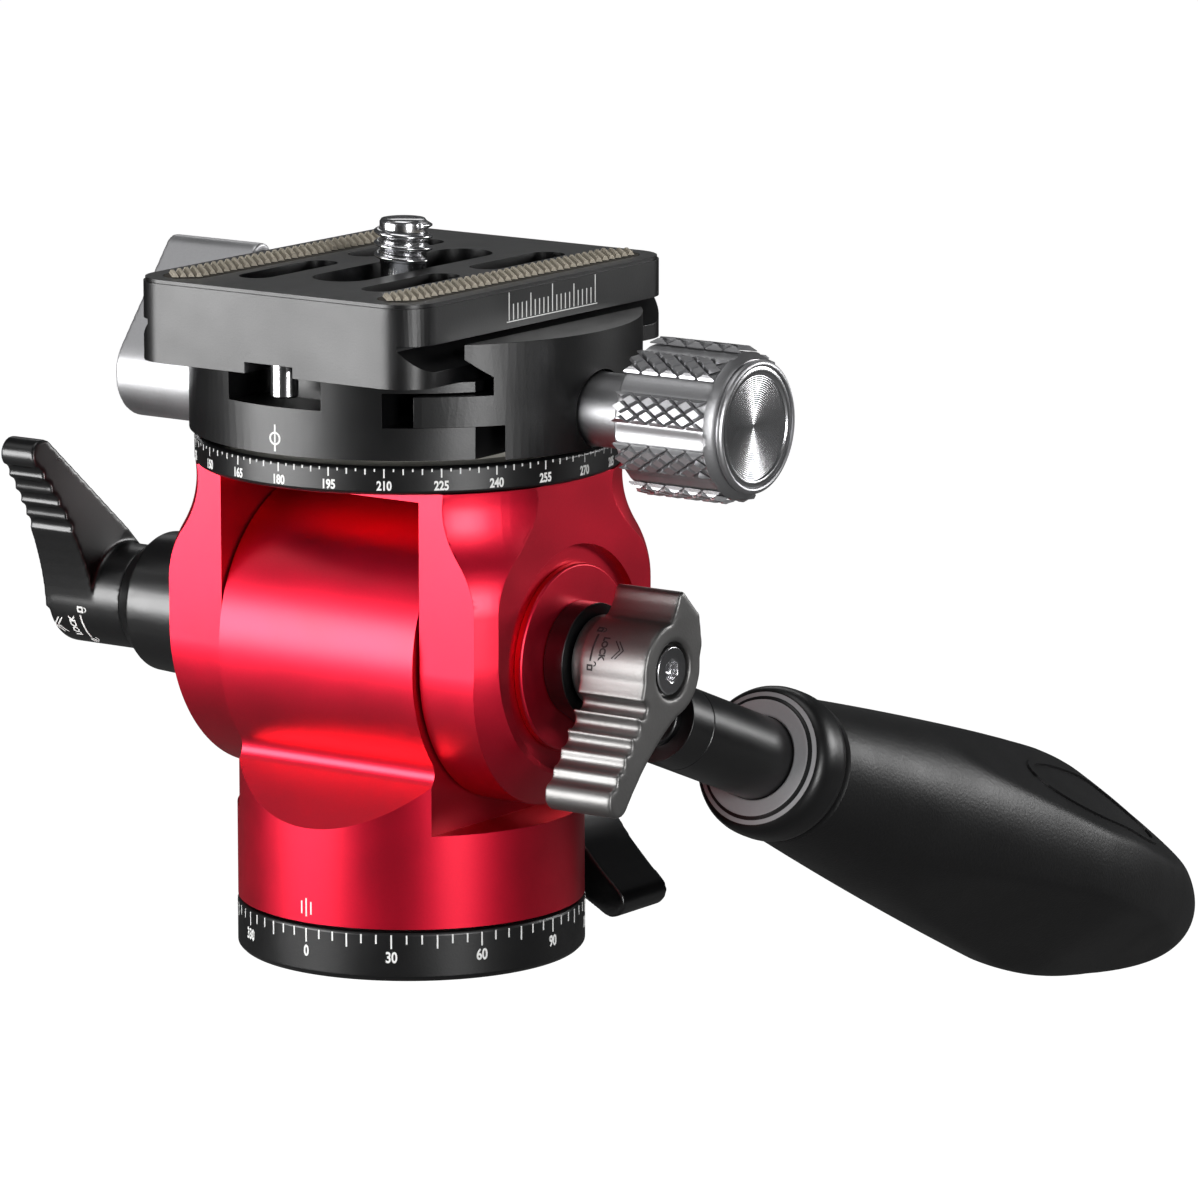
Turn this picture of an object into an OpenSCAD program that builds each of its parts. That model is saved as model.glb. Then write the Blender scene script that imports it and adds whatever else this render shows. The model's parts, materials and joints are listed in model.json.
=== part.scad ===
// Small two-axis fluid head: a panning base, a tilting yoke, a panning clamp
// with a sliding dovetail plate, four lock levers and a steering handle.
// The origin is at the centre of the foot, +Z is up, the tilt axis lies along X,
// the index marks face -Y and the handle points to +Y.

/* [Base] */
// Diameter of the base dial
base_d = 38.1; // [36:0.1:42]
// Height of the base dial
base_h = 5.5; // [4.6:0.1:6.5]
// Wall radius of the tripod thread in the foot
tripod_thread_r = 4; // [3:0.05:4.6]
// Depth of the tripod thread
tripod_thread_depth = 9; // [6:0.5:10]

/* [Column and drum] */
// How far the column's side stands back from the base dial
column_inset = 0.05; // [0:0.05:1]
// Diameter of the column
column_d = base_d - 2 * column_inset;
// Height of the column's shoulders above the foot
shoulder_z = 16; // [14.5:0.1:16.2]
// Height of the tilt axis above the foot
tilt_z = 34.4; // [34:0.1:37]
// Radius of the tilt drum
drum_r = 17.2; // [15.5:0.1:17.4]
// Width of the tilt drum along the axis
drum_w = 26; // [24:0.1:26.6]
// Radius of the fillet between drum and column
drum_fillet_r = 2; // [1:0.1:3]
// Radius of the tilt shaft
shaft_r = 5; // [4:0.1:5.6]
// Radius of the pan spindle
spindle_r = 7; // [6.4:0.1:7.4]

/* [Yoke] */
// Depth of the yoke from its front flat to its back flat
yoke_depth = 32.6; // [30:0.1:33]
// Distance between the yoke's side flats
yoke_w = 44.2; // [43.6:0.1:45]
// Radius of the yoke's belly
belly_r = 26.2; // [25.4:0.1:26.6]
// Radius of the yoke's waist
waist_r = 23.1; // [22.4:0.1:23.2]
// Radius of the round lower ends of the cheeks
cheek_r = 16.3; // [15.8:0.1:16.6]
// Thickness of the bridge over the drum
bridge_t = 2; // [1.6:0.1:2.2]
// Radius of the ring recess in the handle-side cheek
recess_r = 12.3; // [11.6:0.1:12.6]
// Radius of the cap inside that recess
cap_r = 10.2; // [9.8:0.1:11]

/* [Top dial and clamp] */
// Diameter of the top dial
dial_d = 46.6; // [44:0.1:47]
// Height of the top dial
dial_h = 3.1; // [2.6:0.1:3.6]
// Diameter of the clamp
clamp_d = 47.7; // [47.2:0.1:49]
// Height of the clamp's floor above its underside
clamp_floor_h = 8.3; // [8.2:0.1:9]
// Height of the jaws above the clamp's floor
jaw_h = 4.2; // [4:0.1:4.4]
// How far the moving jaw stands open at rest
jaw_open = 1.8; // [1.2:0.1:2.4]
// Diameter of the clamp knob
knob_d = 16.4; // [14:0.1:16.8]
// Length of the clamp knob's gripped part
knob_len = 13.5; // [11:0.1:18]
// Number of flutes round the knob
knob_flutes = 9; // [6:1:12]

/* [Plate] */
// Thickness of the clamp's wall beside the plate
jaw_wall = 4.85; // [4.6:0.05:5.2]
// Width of the plate across its dovetail
plate_w = clamp_d - 2 * jaw_wall;
// How far the plate stands past the clamp at each end
plate_overhang = 0.15; // [0:0.05:2]
// Length of the plate along its dovetail
plate_len = clamp_d + 2 * plate_overhang;
// Thickness of the plate
plate_t = 8.95; // [8.6:0.05:10]
// Corner radius of the plate
plate_corner_r = 4.3; // [3:0.1:5]
// How far the plate sits towards the fixed jaw
plate_shift = 0.7; // [0.4:0.1:0.8]
// Width of the camera screw's slot
screw_slot_w = 6.8; // [6.5:0.1:7]
// Length of the camera screw's slot
screw_slot_len = 28; // [24:0.5:35]
// Length of the four side slots
side_slot_len = 15; // [10:0.5:16]
// Width of the four side slots
side_slot_w = 3.9; // [3:0.1:4.4]
// Width of the rubber strips
strip_w = 5.4; // [4:0.1:5.6]
// Distance of the rubber strips from the plate's ends
strip_gap = 2; // [1:0.1:6]
// Length of the rubber strips
strip_len = plate_len - 2 * strip_gap;
// Radius of the camera screw's thread crest
camera_screw_r = 3.175; // [3:0.025:3.175]
// Height of the camera screw above the plate
camera_screw_h = 5.1; // [4.5:0.1:7]

/* [Levers] */
// Radius of a lever's hub
hub_r = 5.2; // [4.8:0.1:5.6]
// Radius of a lever's tip
tip_r = 1.8; // [1.5:0.1:2.2]
// Reach of the handle lock lever
handle_lever_len = 17.8; // [15:0.1:18]
// Thickness of the handle lock lever
handle_lever_t = 8.6; // [7:0.1:9.4]
// Reach of the tilt lock lever
tilt_lever_len = 22.3; // [17:0.1:22.4]
// Length of the tilt lock lever's hub
tilt_lever_t = 10.7; // [8:0.1:12]
// Reach of the clamp lock lever
clamp_lever_len = 15.6; // [13:0.1:18]
// Thickness of the clamp lock lever
clamp_lever_t = 12.3; // [9:0.1:13]
// Reach of the pan lock lever
pan_lever_len = 18; // [14:0.1:18.2]
// Thickness of the pan lock lever
pan_lever_t = 8.5; // [7:0.1:10]
// Length of the collar that carries the tilt lock lever
collar_len = 13.8; // [10:0.1:16]
// Number of finger grooves on a lever
lever_grooves = 5; // [3:1:5]

/* [Handle] */
// Slope of the handle below level, in degrees
handle_slope = 21.5; // [5:0.1:30]
// Distance of the handle's axis below the tilt axis
handle_drop = 4.2; // [3.8:0.1:5]
// Diameter of the handle's rod
rod_d = 9.4; // [8.4:0.1:9.8]
// Distance of the grip's front from the tilt axis
grip_start = 30.4; // [28:0.1:40]
// Length of the grip
grip_len = 94.6; // [80:0.1:120]
// Radius of the grip at its neck
grip_neck_r = 8.2; // [7.6:0.1:9]
// Radius of the grip at its thickest
grip_max_r = 13; // [11:0.1:14]

/* [Hidden] */
$fn = 96;

// Clearances: running fit of a shaft, faces that slide, bodies that pass each other
run = 0.04;
slide = 0.1;
pass = 0.3;
// A little more than any cut needs to go through
through = 60;

// Base and column
base_r = base_d / 2;
column_r = column_d / 2;
base_chamfer = 0.5;
drag_t = 0.8;
drag_proud = 0.2;
drag_outer_r = base_r - 3;
flange_r = 11;
flange_t = 2.6;
column_z = base_h + pass;
bush_wall = 2;
bush_r = spindle_r + bush_wall;
lower_bush_h = 2.3;
upper_bush_h = 2.5;
brake_r = 4;
brake_bore_r = brake_r + slide / 2;
pan_lock_z = 12.8;
lower_bush_z = column_z + slide;
upper_bush_z = pan_lock_z + brake_r + 0.5;
spindle_top = upper_bush_z + upper_bush_h + slide;
retainer_t = 1.5;
retainer_r = bush_r - 0.4;
retainer_head_r = 3.5;
retainer_head_h = 2;
retainer_screw_r = 2;
retainer_screw_in = 7;
pan_cavity_top = spindle_top + retainer_t + retainer_head_h + 0.5;
base_screw_count = 3;
base_screw_pcd_r = (flange_r + spindle_r) / 2;
base_screw_r = 0.9;
base_screw_head_r = 1.6;
base_screw_len = 4.2;

// Drum: a slope rises from the column's rim and meets the drum in a fillet
slope_z = shoulder_z + 0.2;
slope_c = slope_z + column_r - tilt_z;
fillet_c = slope_c + sqrt(2) * drum_fillet_r;
fillet_reach = drum_r + drum_fillet_r;
fillet_y = (-fillet_c - sqrt(2 * fillet_reach * fillet_reach - fillet_c * fillet_c)) / 2;
fillet_z = fillet_y + fillet_c;
drum_x = drum_w / 2;
drum_disc_r = 12;
drum_disc_seat = drag_t - drag_proud;

// Yoke
cheek_in = drum_x + pass;
flat_x = yoke_w / 2;
flat_y = yoke_depth / 2;
dial_z = tilt_z + drum_r + pass + bridge_t;
rim_h = 1.5;
belly_rise = 11.5;
belly_lift = 1.4;
bridge_half = 12.6;
waist_z = dial_z - rim_h;
belly_z = waist_z - belly_rise;
belly_low_z = tilt_z + belly_lift;
profile_rise = (waist_z - belly_z) / 2;
profile_step = (belly_r - waist_r) / 2;
profile_r = (profile_step * profile_step + profile_rise * profile_rise) / (2 * profile_step);
tilt_bush_wall = 2;
tilt_bush_r = shaft_r + tilt_bush_wall;
tilt_bush_len = 5.6;
spigot_r = tilt_bush_r + 2;
spigot_len = 3;
recess_depth = 0.9;
cap_in = flat_x - recess_depth;
cap_out = flat_x + 0.1;
bush_end = cheek_in + tilt_bush_len;
shaft_end = bush_end - 0.4;

// Top dial, pivot and clamp
dial_r = dial_d / 2;
dial_top = dial_z + dial_h;
dial_edge = 0.35;
pivot_flange_r = 11;
pivot_r = 7;
clamp_r = clamp_d / 2;
clamp_gap = 0.7;
clamp_z = dial_top + clamp_gap;
clamp_drag_t = clamp_gap - slide;
clamp_drag_in = 3.3;
clamp_drag_r = dial_r - clamp_drag_in;
floor_z = clamp_z + clamp_floor_h;
jaw_z = floor_z + jaw_h;
clamp_bush_r = pivot_r + 1.2;
clamp_bush_h = 4.6;
clamp_pad_len = 3.6;
pivot_top = clamp_z + clamp_bush_h + slide + 0.2;
clamp_retainer_r = 9;
clamp_retainer_t = 1.6;
pivot_head_r = 3.5;
pivot_head_h = 1.4;
pivot_screw_r = 1.6;
pivot_screw_len = 8;
retainer_well_r = clamp_retainer_r + 0.4;
retainer_well_z = clamp_z + clamp_bush_h;
pivot_screw_count = 4;
pivot_screw_pcd_r = 9;
small_screw_r = 0.8;
small_head_r = 1.5;

// Moving jaw, drawn closed and then moved out by jaw_open
knob_lift = 4.05;
tongue_lift = 3.7;
knob_z = clamp_z + knob_lift;
tongue_z = clamp_z + tongue_lift;
tongue_t = 3.3;
tongue_gap = 0.2;
lip_gap = 0.2;
tongue_depth = 12.05;
tongue_free = 1.6;
lip_end_x = plate_w / 2 + lip_gap;
slot_end_x = clamp_r - tongue_depth;
tongue_end_x = slot_end_x + tongue_free;
jaw_low_x = lip_end_x + 1;
jaw_face_x = lip_end_x + pass;
boss_half = 4.8;
boss_gap = 0.4;
knob_screw_r = 2.5;
knob_seat_r = 4.3;
knob_seat_depth = 1.05;
knob_seat_x = clamp_r + jaw_open - knob_seat_depth;
knob_neck_r = 4;
knob_neck_len = 7.6;
knob_x = max(knob_seat_x + knob_neck_len, dial_r + pass);
knob_end = knob_x + knob_len;
knob_r = knob_d / 2;
knob_chamfer = 1;
knob_back = 1.6;
knob_rim = 1.3;
knob_face_depth = 0.6;
knob_screw_in = retainer_well_r + jaw_open + pass;
knob_screw_gap = 4;
knob_screw_out = knob_end - knob_screw_gap;
flute_r = 2.2;
flute_sink = 0.6;
flute_turn = 15;

// Plate and its dovetail
plate_x = -plate_shift;
plate_z = floor_z + 0.05;
plate_top = plate_z + plate_t;
plate_half = plate_w / 2;
plate_end = plate_len / 2;
flange_h = 1.65;
groove_depth = 2.4;
groove_top = plate_z + flange_h + groove_depth + 0.5;
plate_chamfer = 0.4;
grip_line = plate_half + plate_z + flange_h;
jaw_hook = 2;
fixed_wall = plate_half + slide;
head_well_w = 15;
head_well_in = 4;
head_well_len = plate_len - 2 * head_well_in;
head_well_h = 4;
well_top = plate_z + head_well_h;
side_slot_in = 10.8;
slot_bridge = 4.4;
strip_in = 4.7;
side_slot_x = plate_half - side_slot_in;
side_slot_y = (side_slot_len + slot_bridge) / 2;
strip_x = plate_half - strip_in;
strip_t = 0.6;
strip_proud = 0.3;
strip_end_r = strip_w / 2 - 0.1;
stop_in = 2.8;
stop_y = plate_end - stop_in;
stop_r = 1.5;
stop_drop = 2.6;
stop_hold = 1.6;
stop_well_half = 6.3;
stop_travel = 2.2;
stop_well_y = stop_y - stop_r - stop_travel;
stop_well_h = 3.2;
notch_w = 6.4;
notch_h = 1.2;
notch_depth = plate_end - stop_y + stop_r + 0.2;
clip_r = 6.6;
clip_t = 0.7;
screw_head_r = 6;
screw_head_h = 2.4;
screw_clip_z = well_top - slide - clip_t;
screw_head_z = screw_clip_z - slide - screw_head_h;
screw_tip_h = 0.8;
screw_neck_r = camera_screw_r - 0.7;
screw_relief = 0.2;
driver_slot = 1.2;
driver_depth = 1;

// Levers
lever_screw_r = 2.5;
lever_head_r = 2.6;
lever_well_r = 3.1;
lever_well_depth = 1.6;
lever_head_drop = 0.2;
socket_af_r = 1.25;
groove_r = 0.9;
groove_pitch = 2.2;
groove_first = 1;
groove_lift = 0.55;
nose_len = 7.8;
arm_t = 2.4;
arm_x = cap_out + slide;
handle_boss_r = 5;
handle_boss_len = 1.4;
handle_lever_x = arm_x + arm_t + 2 * slide + handle_boss_len;
handle_lever_turn = -128.5;
handle_screw_len = 6.4;
tilt_lever_turn = 123.5;
tilt_hub_r = 5.85;
tilt_hub_edge = 1.2;
tilt_arm_t = 6.9;
tilt_arm_lean = 8;
hollow_share = 0.42;
clamp_lever_turn = 66;
clamp_lock_h = 2.6;
clamp_lock_z = clamp_z + clamp_lock_h;
clamp_screw_r = 2;
clamp_lever_x = max(clamp_r, dial_r) + pass + 2 * slide;
collar_out = flat_x + collar_len;
collar_flange = 0.7;
collar_big_r = 8.3;
collar_neck_r = 7.8;
collar_small_r = 6;
collar_taper = 2.5;
tilt_lever_x = collar_out + slide;
stud_r = 4;
stud_head_r = 6.4;
stud_head_t = 1.6;
stud_bore_depth = 5;
brake_pad_len = 3.2;
brake_pad_r = 3.4;
pan_lever_turn = -41;
pan_lever_gap = 1.5;
pan_lever_y = column_r + pan_lever_gap;
pan_hub_r = 5.3;
pan_neck_r = 4.5;
pan_spot_r = 5;
pan_spot_depth = 1;
pan_spot_y = column_r - pan_spot_depth;
pan_pad_len = 5;
pan_pad_end = spindle_r + pan_pad_len;
pan_bush_y = pan_pad_end + slide;

// Handle
rod_r = rod_d / 2;
handle_x = arm_x + 0.5 + rod_r;
eye_r = 6.2;
shank_start = 9.8;
shank_end = 14;
rod_spigot_r = 3;
rod_spigot_len = 5;
rod_in_grip = 42;
collar_front_r = 6.6;
collar_ring_r = 8.6;
grip_collar_len = 6.4;
grip_end = grip_start + grip_len;
grip_body = grip_start + grip_collar_len;
swell_steps = 14;
end_steps = 8;
// Shares of the grip's length where it is thickest, draws in and ends, and its radii there
grip_max_at = 0.61;
draw_at = 0.82;
blunt_at = 0.968;
draw_r = 0.8 * grip_max_r;
blunt_r = 0.43 * grip_max_r;
// Flat facets of the grip: place along it, depth from its axis, turn round it and lean
grip_facets = [[0.64, 0.94 * grip_max_r, 28, 4], [0.72, 0.9 * grip_max_r, 117, 9]];

// Colours of the finishes
red = [0.78, 0.06, 0.13];
black = [0.09, 0.09, 0.1];
silver = [0.68, 0.68, 0.69];
steel = [0.78, 0.78, 0.8];
bronze = [0.66, 0.5, 0.28];
polymer = [0.9, 0.9, 0.86];
rubber = [0.45, 0.43, 0.39];
grip_black = [0.06, 0.06, 0.065];

// A point on a quadratic curve from a to c, pulled towards b
function bend(a, b, c, t) = (1 - t) * (1 - t) * a + 2 * t * (1 - t) * b + t * t * c;
function bend_points(a, b, c, n) = [for (i = [0:n]) bend(a, b, c, i / n)];

// Where a line from p touches a circle of radius r round the origin, on one side
function touch(p, r, side) =
    let (turn = atan2(p[1], p[0]) + side * acos(r / norm(p)))
    r * [cos(turn), sin(turn)];

// Where a lever's straight flank touches its hub and its tip, on one side of its centre line
function flank(r, reach, side) =
    let (lean = asin((r - tip_r) / (reach - tip_r)))
    [r * [sin(lean), side * cos(lean)],
     [reach - tip_r, 0] + tip_r * [sin(lean), side * cos(lean)]];

// Cylinder along +X from x0 to x1, on a line at height z
module rod_x(r, x0, x1, z = 0) {
    translate([x0, 0, z]) rotate([0, 90, 0]) cylinder(r = r, h = x1 - x0);
}

// Cylinder along +Y from y0 to y1, at x and height z
module rod_y(r, y0, y1, x, z) {
    translate([x, y0, z]) rotate([-90, 0, 0]) cylinder(r = r, h = y1 - y0);
}

// Ring from z0 to z1
module ring(r_out, r_in, z0, z1) {
    translate([0, 0, z0]) difference() {
        cylinder(r = r_out, h = z1 - z0);
        translate([0, 0, -1]) cylinder(r = r_in, h = z1 - z0 + 2);
    }
}

// Ring along X on the tilt axis
module ring_x(r_out, r_in, x0, x1) {
    difference() {
        rod_x(r_out, x0, x1, tilt_z);
        rod_x(r_in, x0 - 1, x1 + 1, tilt_z);
    }
}

// Slot outline with round ends, long along Y
module slot_outline(w, len) {
    square([w, len - w], center = true);
    for (s = [-1, 1]) translate([0, s * (len - w) / 2]) circle(d = w);
}

// Rectangle with round corners
module rounded_outline(w, len, r) {
    square([w - 2 * r, len], center = true);
    square([w, len - 2 * r], center = true);
    for (sx = [-1, 1], sy = [-1, 1])
        translate([sx * (w / 2 - r), sy * (len / 2 - r)]) circle(r = r);
}

// Countersunk screw with its head flush at z = 0, pointing to +Z
module countersunk_screw(head_r, r, len) {
    cylinder(r1 = head_r, r2 = r, h = head_r - r);
    translate([0, 0, head_r - r]) cylinder(r = r, h = len - head_r + r);
}

// Places its children at equal steps round Z
module around(count, radius) {
    for (i = [0:count - 1]) rotate([0, 0, i * 360 / count + 45]) translate([radius, 0, 0]) children();
}

// Places a lever outline in the YZ plane, so that its axis lies along X
module on_x_axis(x, z, turn) {
    translate([x, 0, z]) rotate([90, 0, 90]) rotate([0, 0, turn]) children();
}

// Outline of the handle lock lever: hub, waisted arm along +X and a short nose behind the hub
module nosed_outline(reach) {
    arm_end = reach - tip_r;
    upper = bend_points([arm_end, tip_r], [1.45 * hub_r, 0.85 * tip_r], [0.19, 0.97] * hub_r, 10);
    lower = bend_points([0.46, -0.875] * hub_r, [1.05 * hub_r, -tip_r], [arm_end, -tip_r], 10);
    nose_back = [[-0.96, 0.6] * hub_r, [-0.94 * nose_len, 0.12 * hub_r], [-nose_len, -0.69 * hub_r]];
    nose_under = bend_points([-0.91 * nose_len, -0.75 * hub_r], [-0.69, -0.46] * hub_r,
                             [-0.1, -0.98] * hub_r, 6);
    circle(r = hub_r);
    translate([arm_end, 0]) circle(r = tip_r);
    polygon(concat(upper, [[0, 0]], lower));
    polygon(concat([[0, 0.99 * hub_r]], nose_back, nose_under));
}

// Arm along +X that tapers to its tip, without its hub
module tapered_arm(r, reach) {
    left = flank(r, reach, 1);
    right = flank(r, reach, -1);
    translate([reach - tip_r, 0]) circle(r = tip_r);
    polygon([left[1], left[0], [0, 0], right[0], right[1]]);
}

// Points of a hollow flank from a lever's tip to its hub, and one point on it
function hollow_ends(r, reach) =
    [[reach - tip_r, tip_r], [hollow_share * (reach - tip_r), 0.9 * tip_r], [0.34, 0.94] * r];
function hollow_point(r, reach, t) =
    let (e = hollow_ends(r, reach)) bend(e[0], e[1], e[2], t);

// Arm along +X with one straight flank and one hollow flank, without its hub
module hollow_arm(r, reach) {
    e = hollow_ends(r, reach);
    straight = flank(r, reach, -1);
    translate([reach - tip_r, 0]) circle(r = tip_r);
    polygon(concat(bend_points(e[0], e[1], e[2], 12), [[0, 0]], straight));
}

// Finger grooves across a straight flank that runs from a to b
module finger_grooves(a, b, side, t) {
    for (i = [0:lever_grooves - 1]) {
        at = a + (b - a) * (groove_first + i * groove_pitch) / norm(b - a);
        translate([at[0], at[1] + side * groove_r * groove_lift, -1])
            cylinder(r = groove_r, h = t + 2, $fn = 32);
    }
}

// Hub along +Z whose first end is rounded
module rounded_hub(r, t, edge) {
    rotate_extrude() {
        translate([0, edge]) square([r, t - edge]);
        square([r - edge, t / 2]);
        translate([r - edge, edge]) circle(r = edge);
    }
}

// Screw head with a hex socket, its face at z = 0 and its shank to -Z
module socket_screw(head_r, head_h, r, len) {
    difference() {
        union() {
            translate([0, 0, -head_h]) cylinder(r = head_r, h = head_h);
            translate([0, 0, -len]) cylinder(r = r, h = len - head_h);
        }
        translate([0, 0, -head_h * 0.7]) cylinder(r = socket_af_r, h = head_h, $fn = 6);
    }
}

// Base

module base_dial() {
    color(black) difference() {
        rotate_extrude() polygon([
            [0, 0], [base_r - base_chamfer, 0], [base_r, base_chamfer],
            [base_r, base_h - base_chamfer / 2], [base_r - base_chamfer / 2, base_h], [0, base_h]
        ]);
        translate([0, 0, -1]) cylinder(r = spindle_r, h = base_h + 2);
        translate([0, 0, -1]) cylinder(r = flange_r, h = flange_t + 1);
        around(base_screw_count, base_screw_pcd_r) cylinder(r = base_screw_r, h = base_screw_len);
        translate([0, 0, base_h - drag_t + drag_proud]) difference() {
            cylinder(r = drag_outer_r, h = drag_t);
            translate([0, 0, -1]) cylinder(r = flange_r, h = drag_t + 2);
        }
    }
}

module pan_spindle() {
    color(steel) difference() {
        union() {
            cylinder(r = flange_r, h = flange_t);
            cylinder(r = spindle_r, h = spindle_top);
        }
        translate([0, 0, -1]) cylinder(r = tripod_thread_r, h = tripod_thread_depth + 1);
        translate([0, 0, spindle_top - retainer_screw_in])
            cylinder(r = retainer_screw_r, h = retainer_screw_in + 1);
        around(base_screw_count, base_screw_pcd_r)
            countersunk_screw(base_screw_head_r, base_screw_r, base_screw_len);
    }
}

module base_screws() {
    color(steel) around(base_screw_count, base_screw_pcd_r)
        countersunk_screw(base_screw_head_r, base_screw_r, base_screw_len);
}

module pan_drag_disc() {
    color(polymer) ring(drag_outer_r, flange_r, base_h - drag_t + drag_proud, base_h + drag_proud);
}

module pan_retainer() {
    color(steel) ring(retainer_r, retainer_screw_r, spindle_top, spindle_top + retainer_t);
}

module pan_retainer_screw() {
    color(steel) translate([0, 0, spindle_top + retainer_t + retainer_head_h])
        socket_screw(retainer_head_r, retainer_head_h, retainer_screw_r,
                     retainer_t + retainer_head_h + retainer_screw_in);
}

// Column and drum

// Side outline of the neck below the drum: slope, fillet and drum, on one side
module neck_outline() {
    drum_touch = [fillet_y, fillet_z] * drum_r / fillet_reach;
    slope_touch = [fillet_y, fillet_z] + drum_fillet_r / sqrt(2) * [1, -1];
    polygon([[0, column_z - tilt_z], [-column_r - 1, column_z - tilt_z],
             [-column_r - 1, slope_c - column_r - 1], slope_touch, [0, 0]]);
    difference() {
        polygon([drum_touch, [fillet_y, fillet_z], slope_touch, [0, 0]]);
        translate([fillet_y, fillet_z]) circle(r = drum_fillet_r);
    }
}

module drum_block() {
    translate([-drum_x, 0, tilt_z]) rotate([90, 0, 90]) linear_extrude(drum_w) {
        circle(r = drum_r);
        for (m = [0, 1]) mirror([m, 0]) neck_outline();
    }
}

module pan_column() {
    color(red) difference() {
        union() {
            translate([0, 0, column_z]) cylinder(r = column_r, h = shoulder_z - column_z);
            intersection() {
                drum_block();
                union() {
                    cylinder(r = column_r, h = tilt_z);
                    rod_x(drum_r, -drum_x, drum_x, tilt_z);
                }
            }
        }
        translate([0, 0, -1]) cylinder(r = bush_r, h = pan_cavity_top + 1);
        rod_x(shaft_r, -through, through, tilt_z);
        for (s = [-1, 1])
            rod_x(drum_disc_r, s * drum_x - drum_disc_seat, s * drum_x + drum_disc_seat, tilt_z);
        rod_y(brake_bore_r, 0, pan_spot_y, 0, pan_lock_z);
        rod_y(pan_spot_r, pan_spot_y, through, 0, pan_lock_z);
    }
}

module pan_bush_lower() {
    color(bronze) ring(bush_r, spindle_r + run, lower_bush_z, lower_bush_z + lower_bush_h);
}

module pan_bush_upper() {
    color(bronze) ring(bush_r, spindle_r + run, upper_bush_z, upper_bush_z + upper_bush_h);
}

module pan_brake_shoe() {
    color(bronze) difference() {
        rod_y(brake_r, 0, pan_pad_end, 0, pan_lock_z);
        cylinder(r = spindle_r + run, h = tilt_z);
    }
}

module pan_lock_bush() {
    color(bronze) difference() {
        rod_y(brake_bore_r, pan_bush_y, pan_spot_y, 0, pan_lock_z);
        rod_y(lever_screw_r + run, 0, through, 0, pan_lock_z);
    }
}

module tilt_shaft() {
    color(steel) rod_x(shaft_r, -shaft_end, shaft_end, tilt_z);
}

module tilt_drag_disc(side) {
    x_in = drum_x - drum_disc_seat;
    color(polymer) mirror([side < 0 ? 1 : 0, 0, 0])
        ring_x(drum_disc_r, shaft_r, x_in, x_in + drag_t);
}

module tilt_drag_disc_left() { tilt_drag_disc(-1); }
module tilt_drag_disc_right() { tilt_drag_disc(1); }

// Yoke

// Half outline of the turned yoke: round belly, an S-curve of two arcs, waist and rim
module yoke_outline() {
    mid_z = belly_z + profile_rise;
    intersection() {
        translate([0, belly_low_z]) circle(r = belly_r);
        translate([0, belly_low_z - belly_r]) square([belly_r, belly_r]);
    }
    translate([0, belly_low_z]) square([belly_r, belly_z - belly_low_z]);
    translate([0, belly_z]) square([belly_r - profile_r, profile_rise]);
    intersection() {
        translate([belly_r - profile_r, belly_z]) circle(r = profile_r);
        translate([belly_r - profile_r, belly_z]) square([profile_r, profile_rise]);
    }
    difference() {
        translate([0, mid_z]) square([waist_r + profile_r, dial_z - mid_z]);
        translate([waist_r + profile_r, waist_z]) circle(r = profile_r);
    }
}

module yoke() {
    color(red) difference() {
        intersection() {
            rotate_extrude() yoke_outline();
            translate([-flat_x, -flat_y, 0]) cube([2 * flat_x, 2 * flat_y, dial_z]);
            union() {
                rod_x(cheek_r, -through, through, tilt_z);
                translate([-through, -through, tilt_z]) cube([2 * through, 2 * through, through]);
            }
        }
        translate([-cheek_in, -through, -1]) cube([2 * cheek_in, 2 * through, dial_z - bridge_t + 1]);
        for (s = [0, 1]) mirror([0, s, 0])
            translate([-cheek_in, bridge_half, 0]) cube([2 * cheek_in, through, 2 * through]);
        rod_x(tilt_bush_r, -flat_x, flat_x, tilt_z);
        rod_x(spigot_r, flat_x - spigot_len, through, tilt_z);
        rod_x(spigot_r, -through, -flat_x + spigot_len, tilt_z);
        rod_x(recess_r, cap_in, through, tilt_z);
        around(pivot_screw_count, pivot_screw_pcd_r)
            translate([0, 0, dial_z - bridge_t - 1]) cylinder(r = small_screw_r, h = bridge_t + 2);
    }
}

module tilt_bush_left() { color(bronze) ring_x(tilt_bush_r, shaft_r + run, -bush_end, -cheek_in); }
module tilt_bush_right() { color(bronze) ring_x(tilt_bush_r, shaft_r + run, cheek_in, bush_end); }

module yoke_cap() {
    color(red) difference() {
        union() {
            rod_x(spigot_r, flat_x - spigot_len, cap_in, tilt_z);
            rod_x(cap_r, cap_in, cap_out, tilt_z);
        }
        rod_x(stud_r, 0, through, tilt_z);
        rod_x(stud_head_r, 0, flat_x - spigot_len + stud_head_t, tilt_z);
    }
}

module tilt_collar() {
    flange = collar_big_r + collar_flange;
    color(black) difference() {
        translate([0, 0, tilt_z]) rotate([0, -90, 0]) rotate_extrude() polygon([
            [0, flat_x - spigot_len], [spigot_r, flat_x - spigot_len], [spigot_r, flat_x],
            [flange, flat_x], [flange, flat_x + collar_flange], [collar_big_r, flat_x + 2 * collar_flange],
            [collar_neck_r, collar_out - collar_taper], [collar_small_r, collar_out], [0, collar_out]
        ]);
        rod_x(lever_screw_r + run, -through, 0, tilt_z);
        rod_x(brake_pad_r + run, -shaft_end - brake_pad_len - slide, 0, tilt_z);
    }
}

module tilt_brake_pad() {
    color(bronze) rod_x(brake_pad_r, -shaft_end - brake_pad_len, -shaft_end - slide, tilt_z);
}

module handle_stud() {
    stud_out = handle_lever_x + handle_lever_t - lever_well_depth - lever_head_r;
    color(steel) difference() {
        union() {
            rod_x(stud_head_r, flat_x - spigot_len, flat_x - spigot_len + stud_head_t, tilt_z);
            rod_x(stud_r, flat_x - spigot_len, stud_out, tilt_z);
        }
        rod_x(socket_af_r + pass, stud_out - stud_bore_depth, through, tilt_z);
    }
}

// Top dial, pivot and clamp

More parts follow.
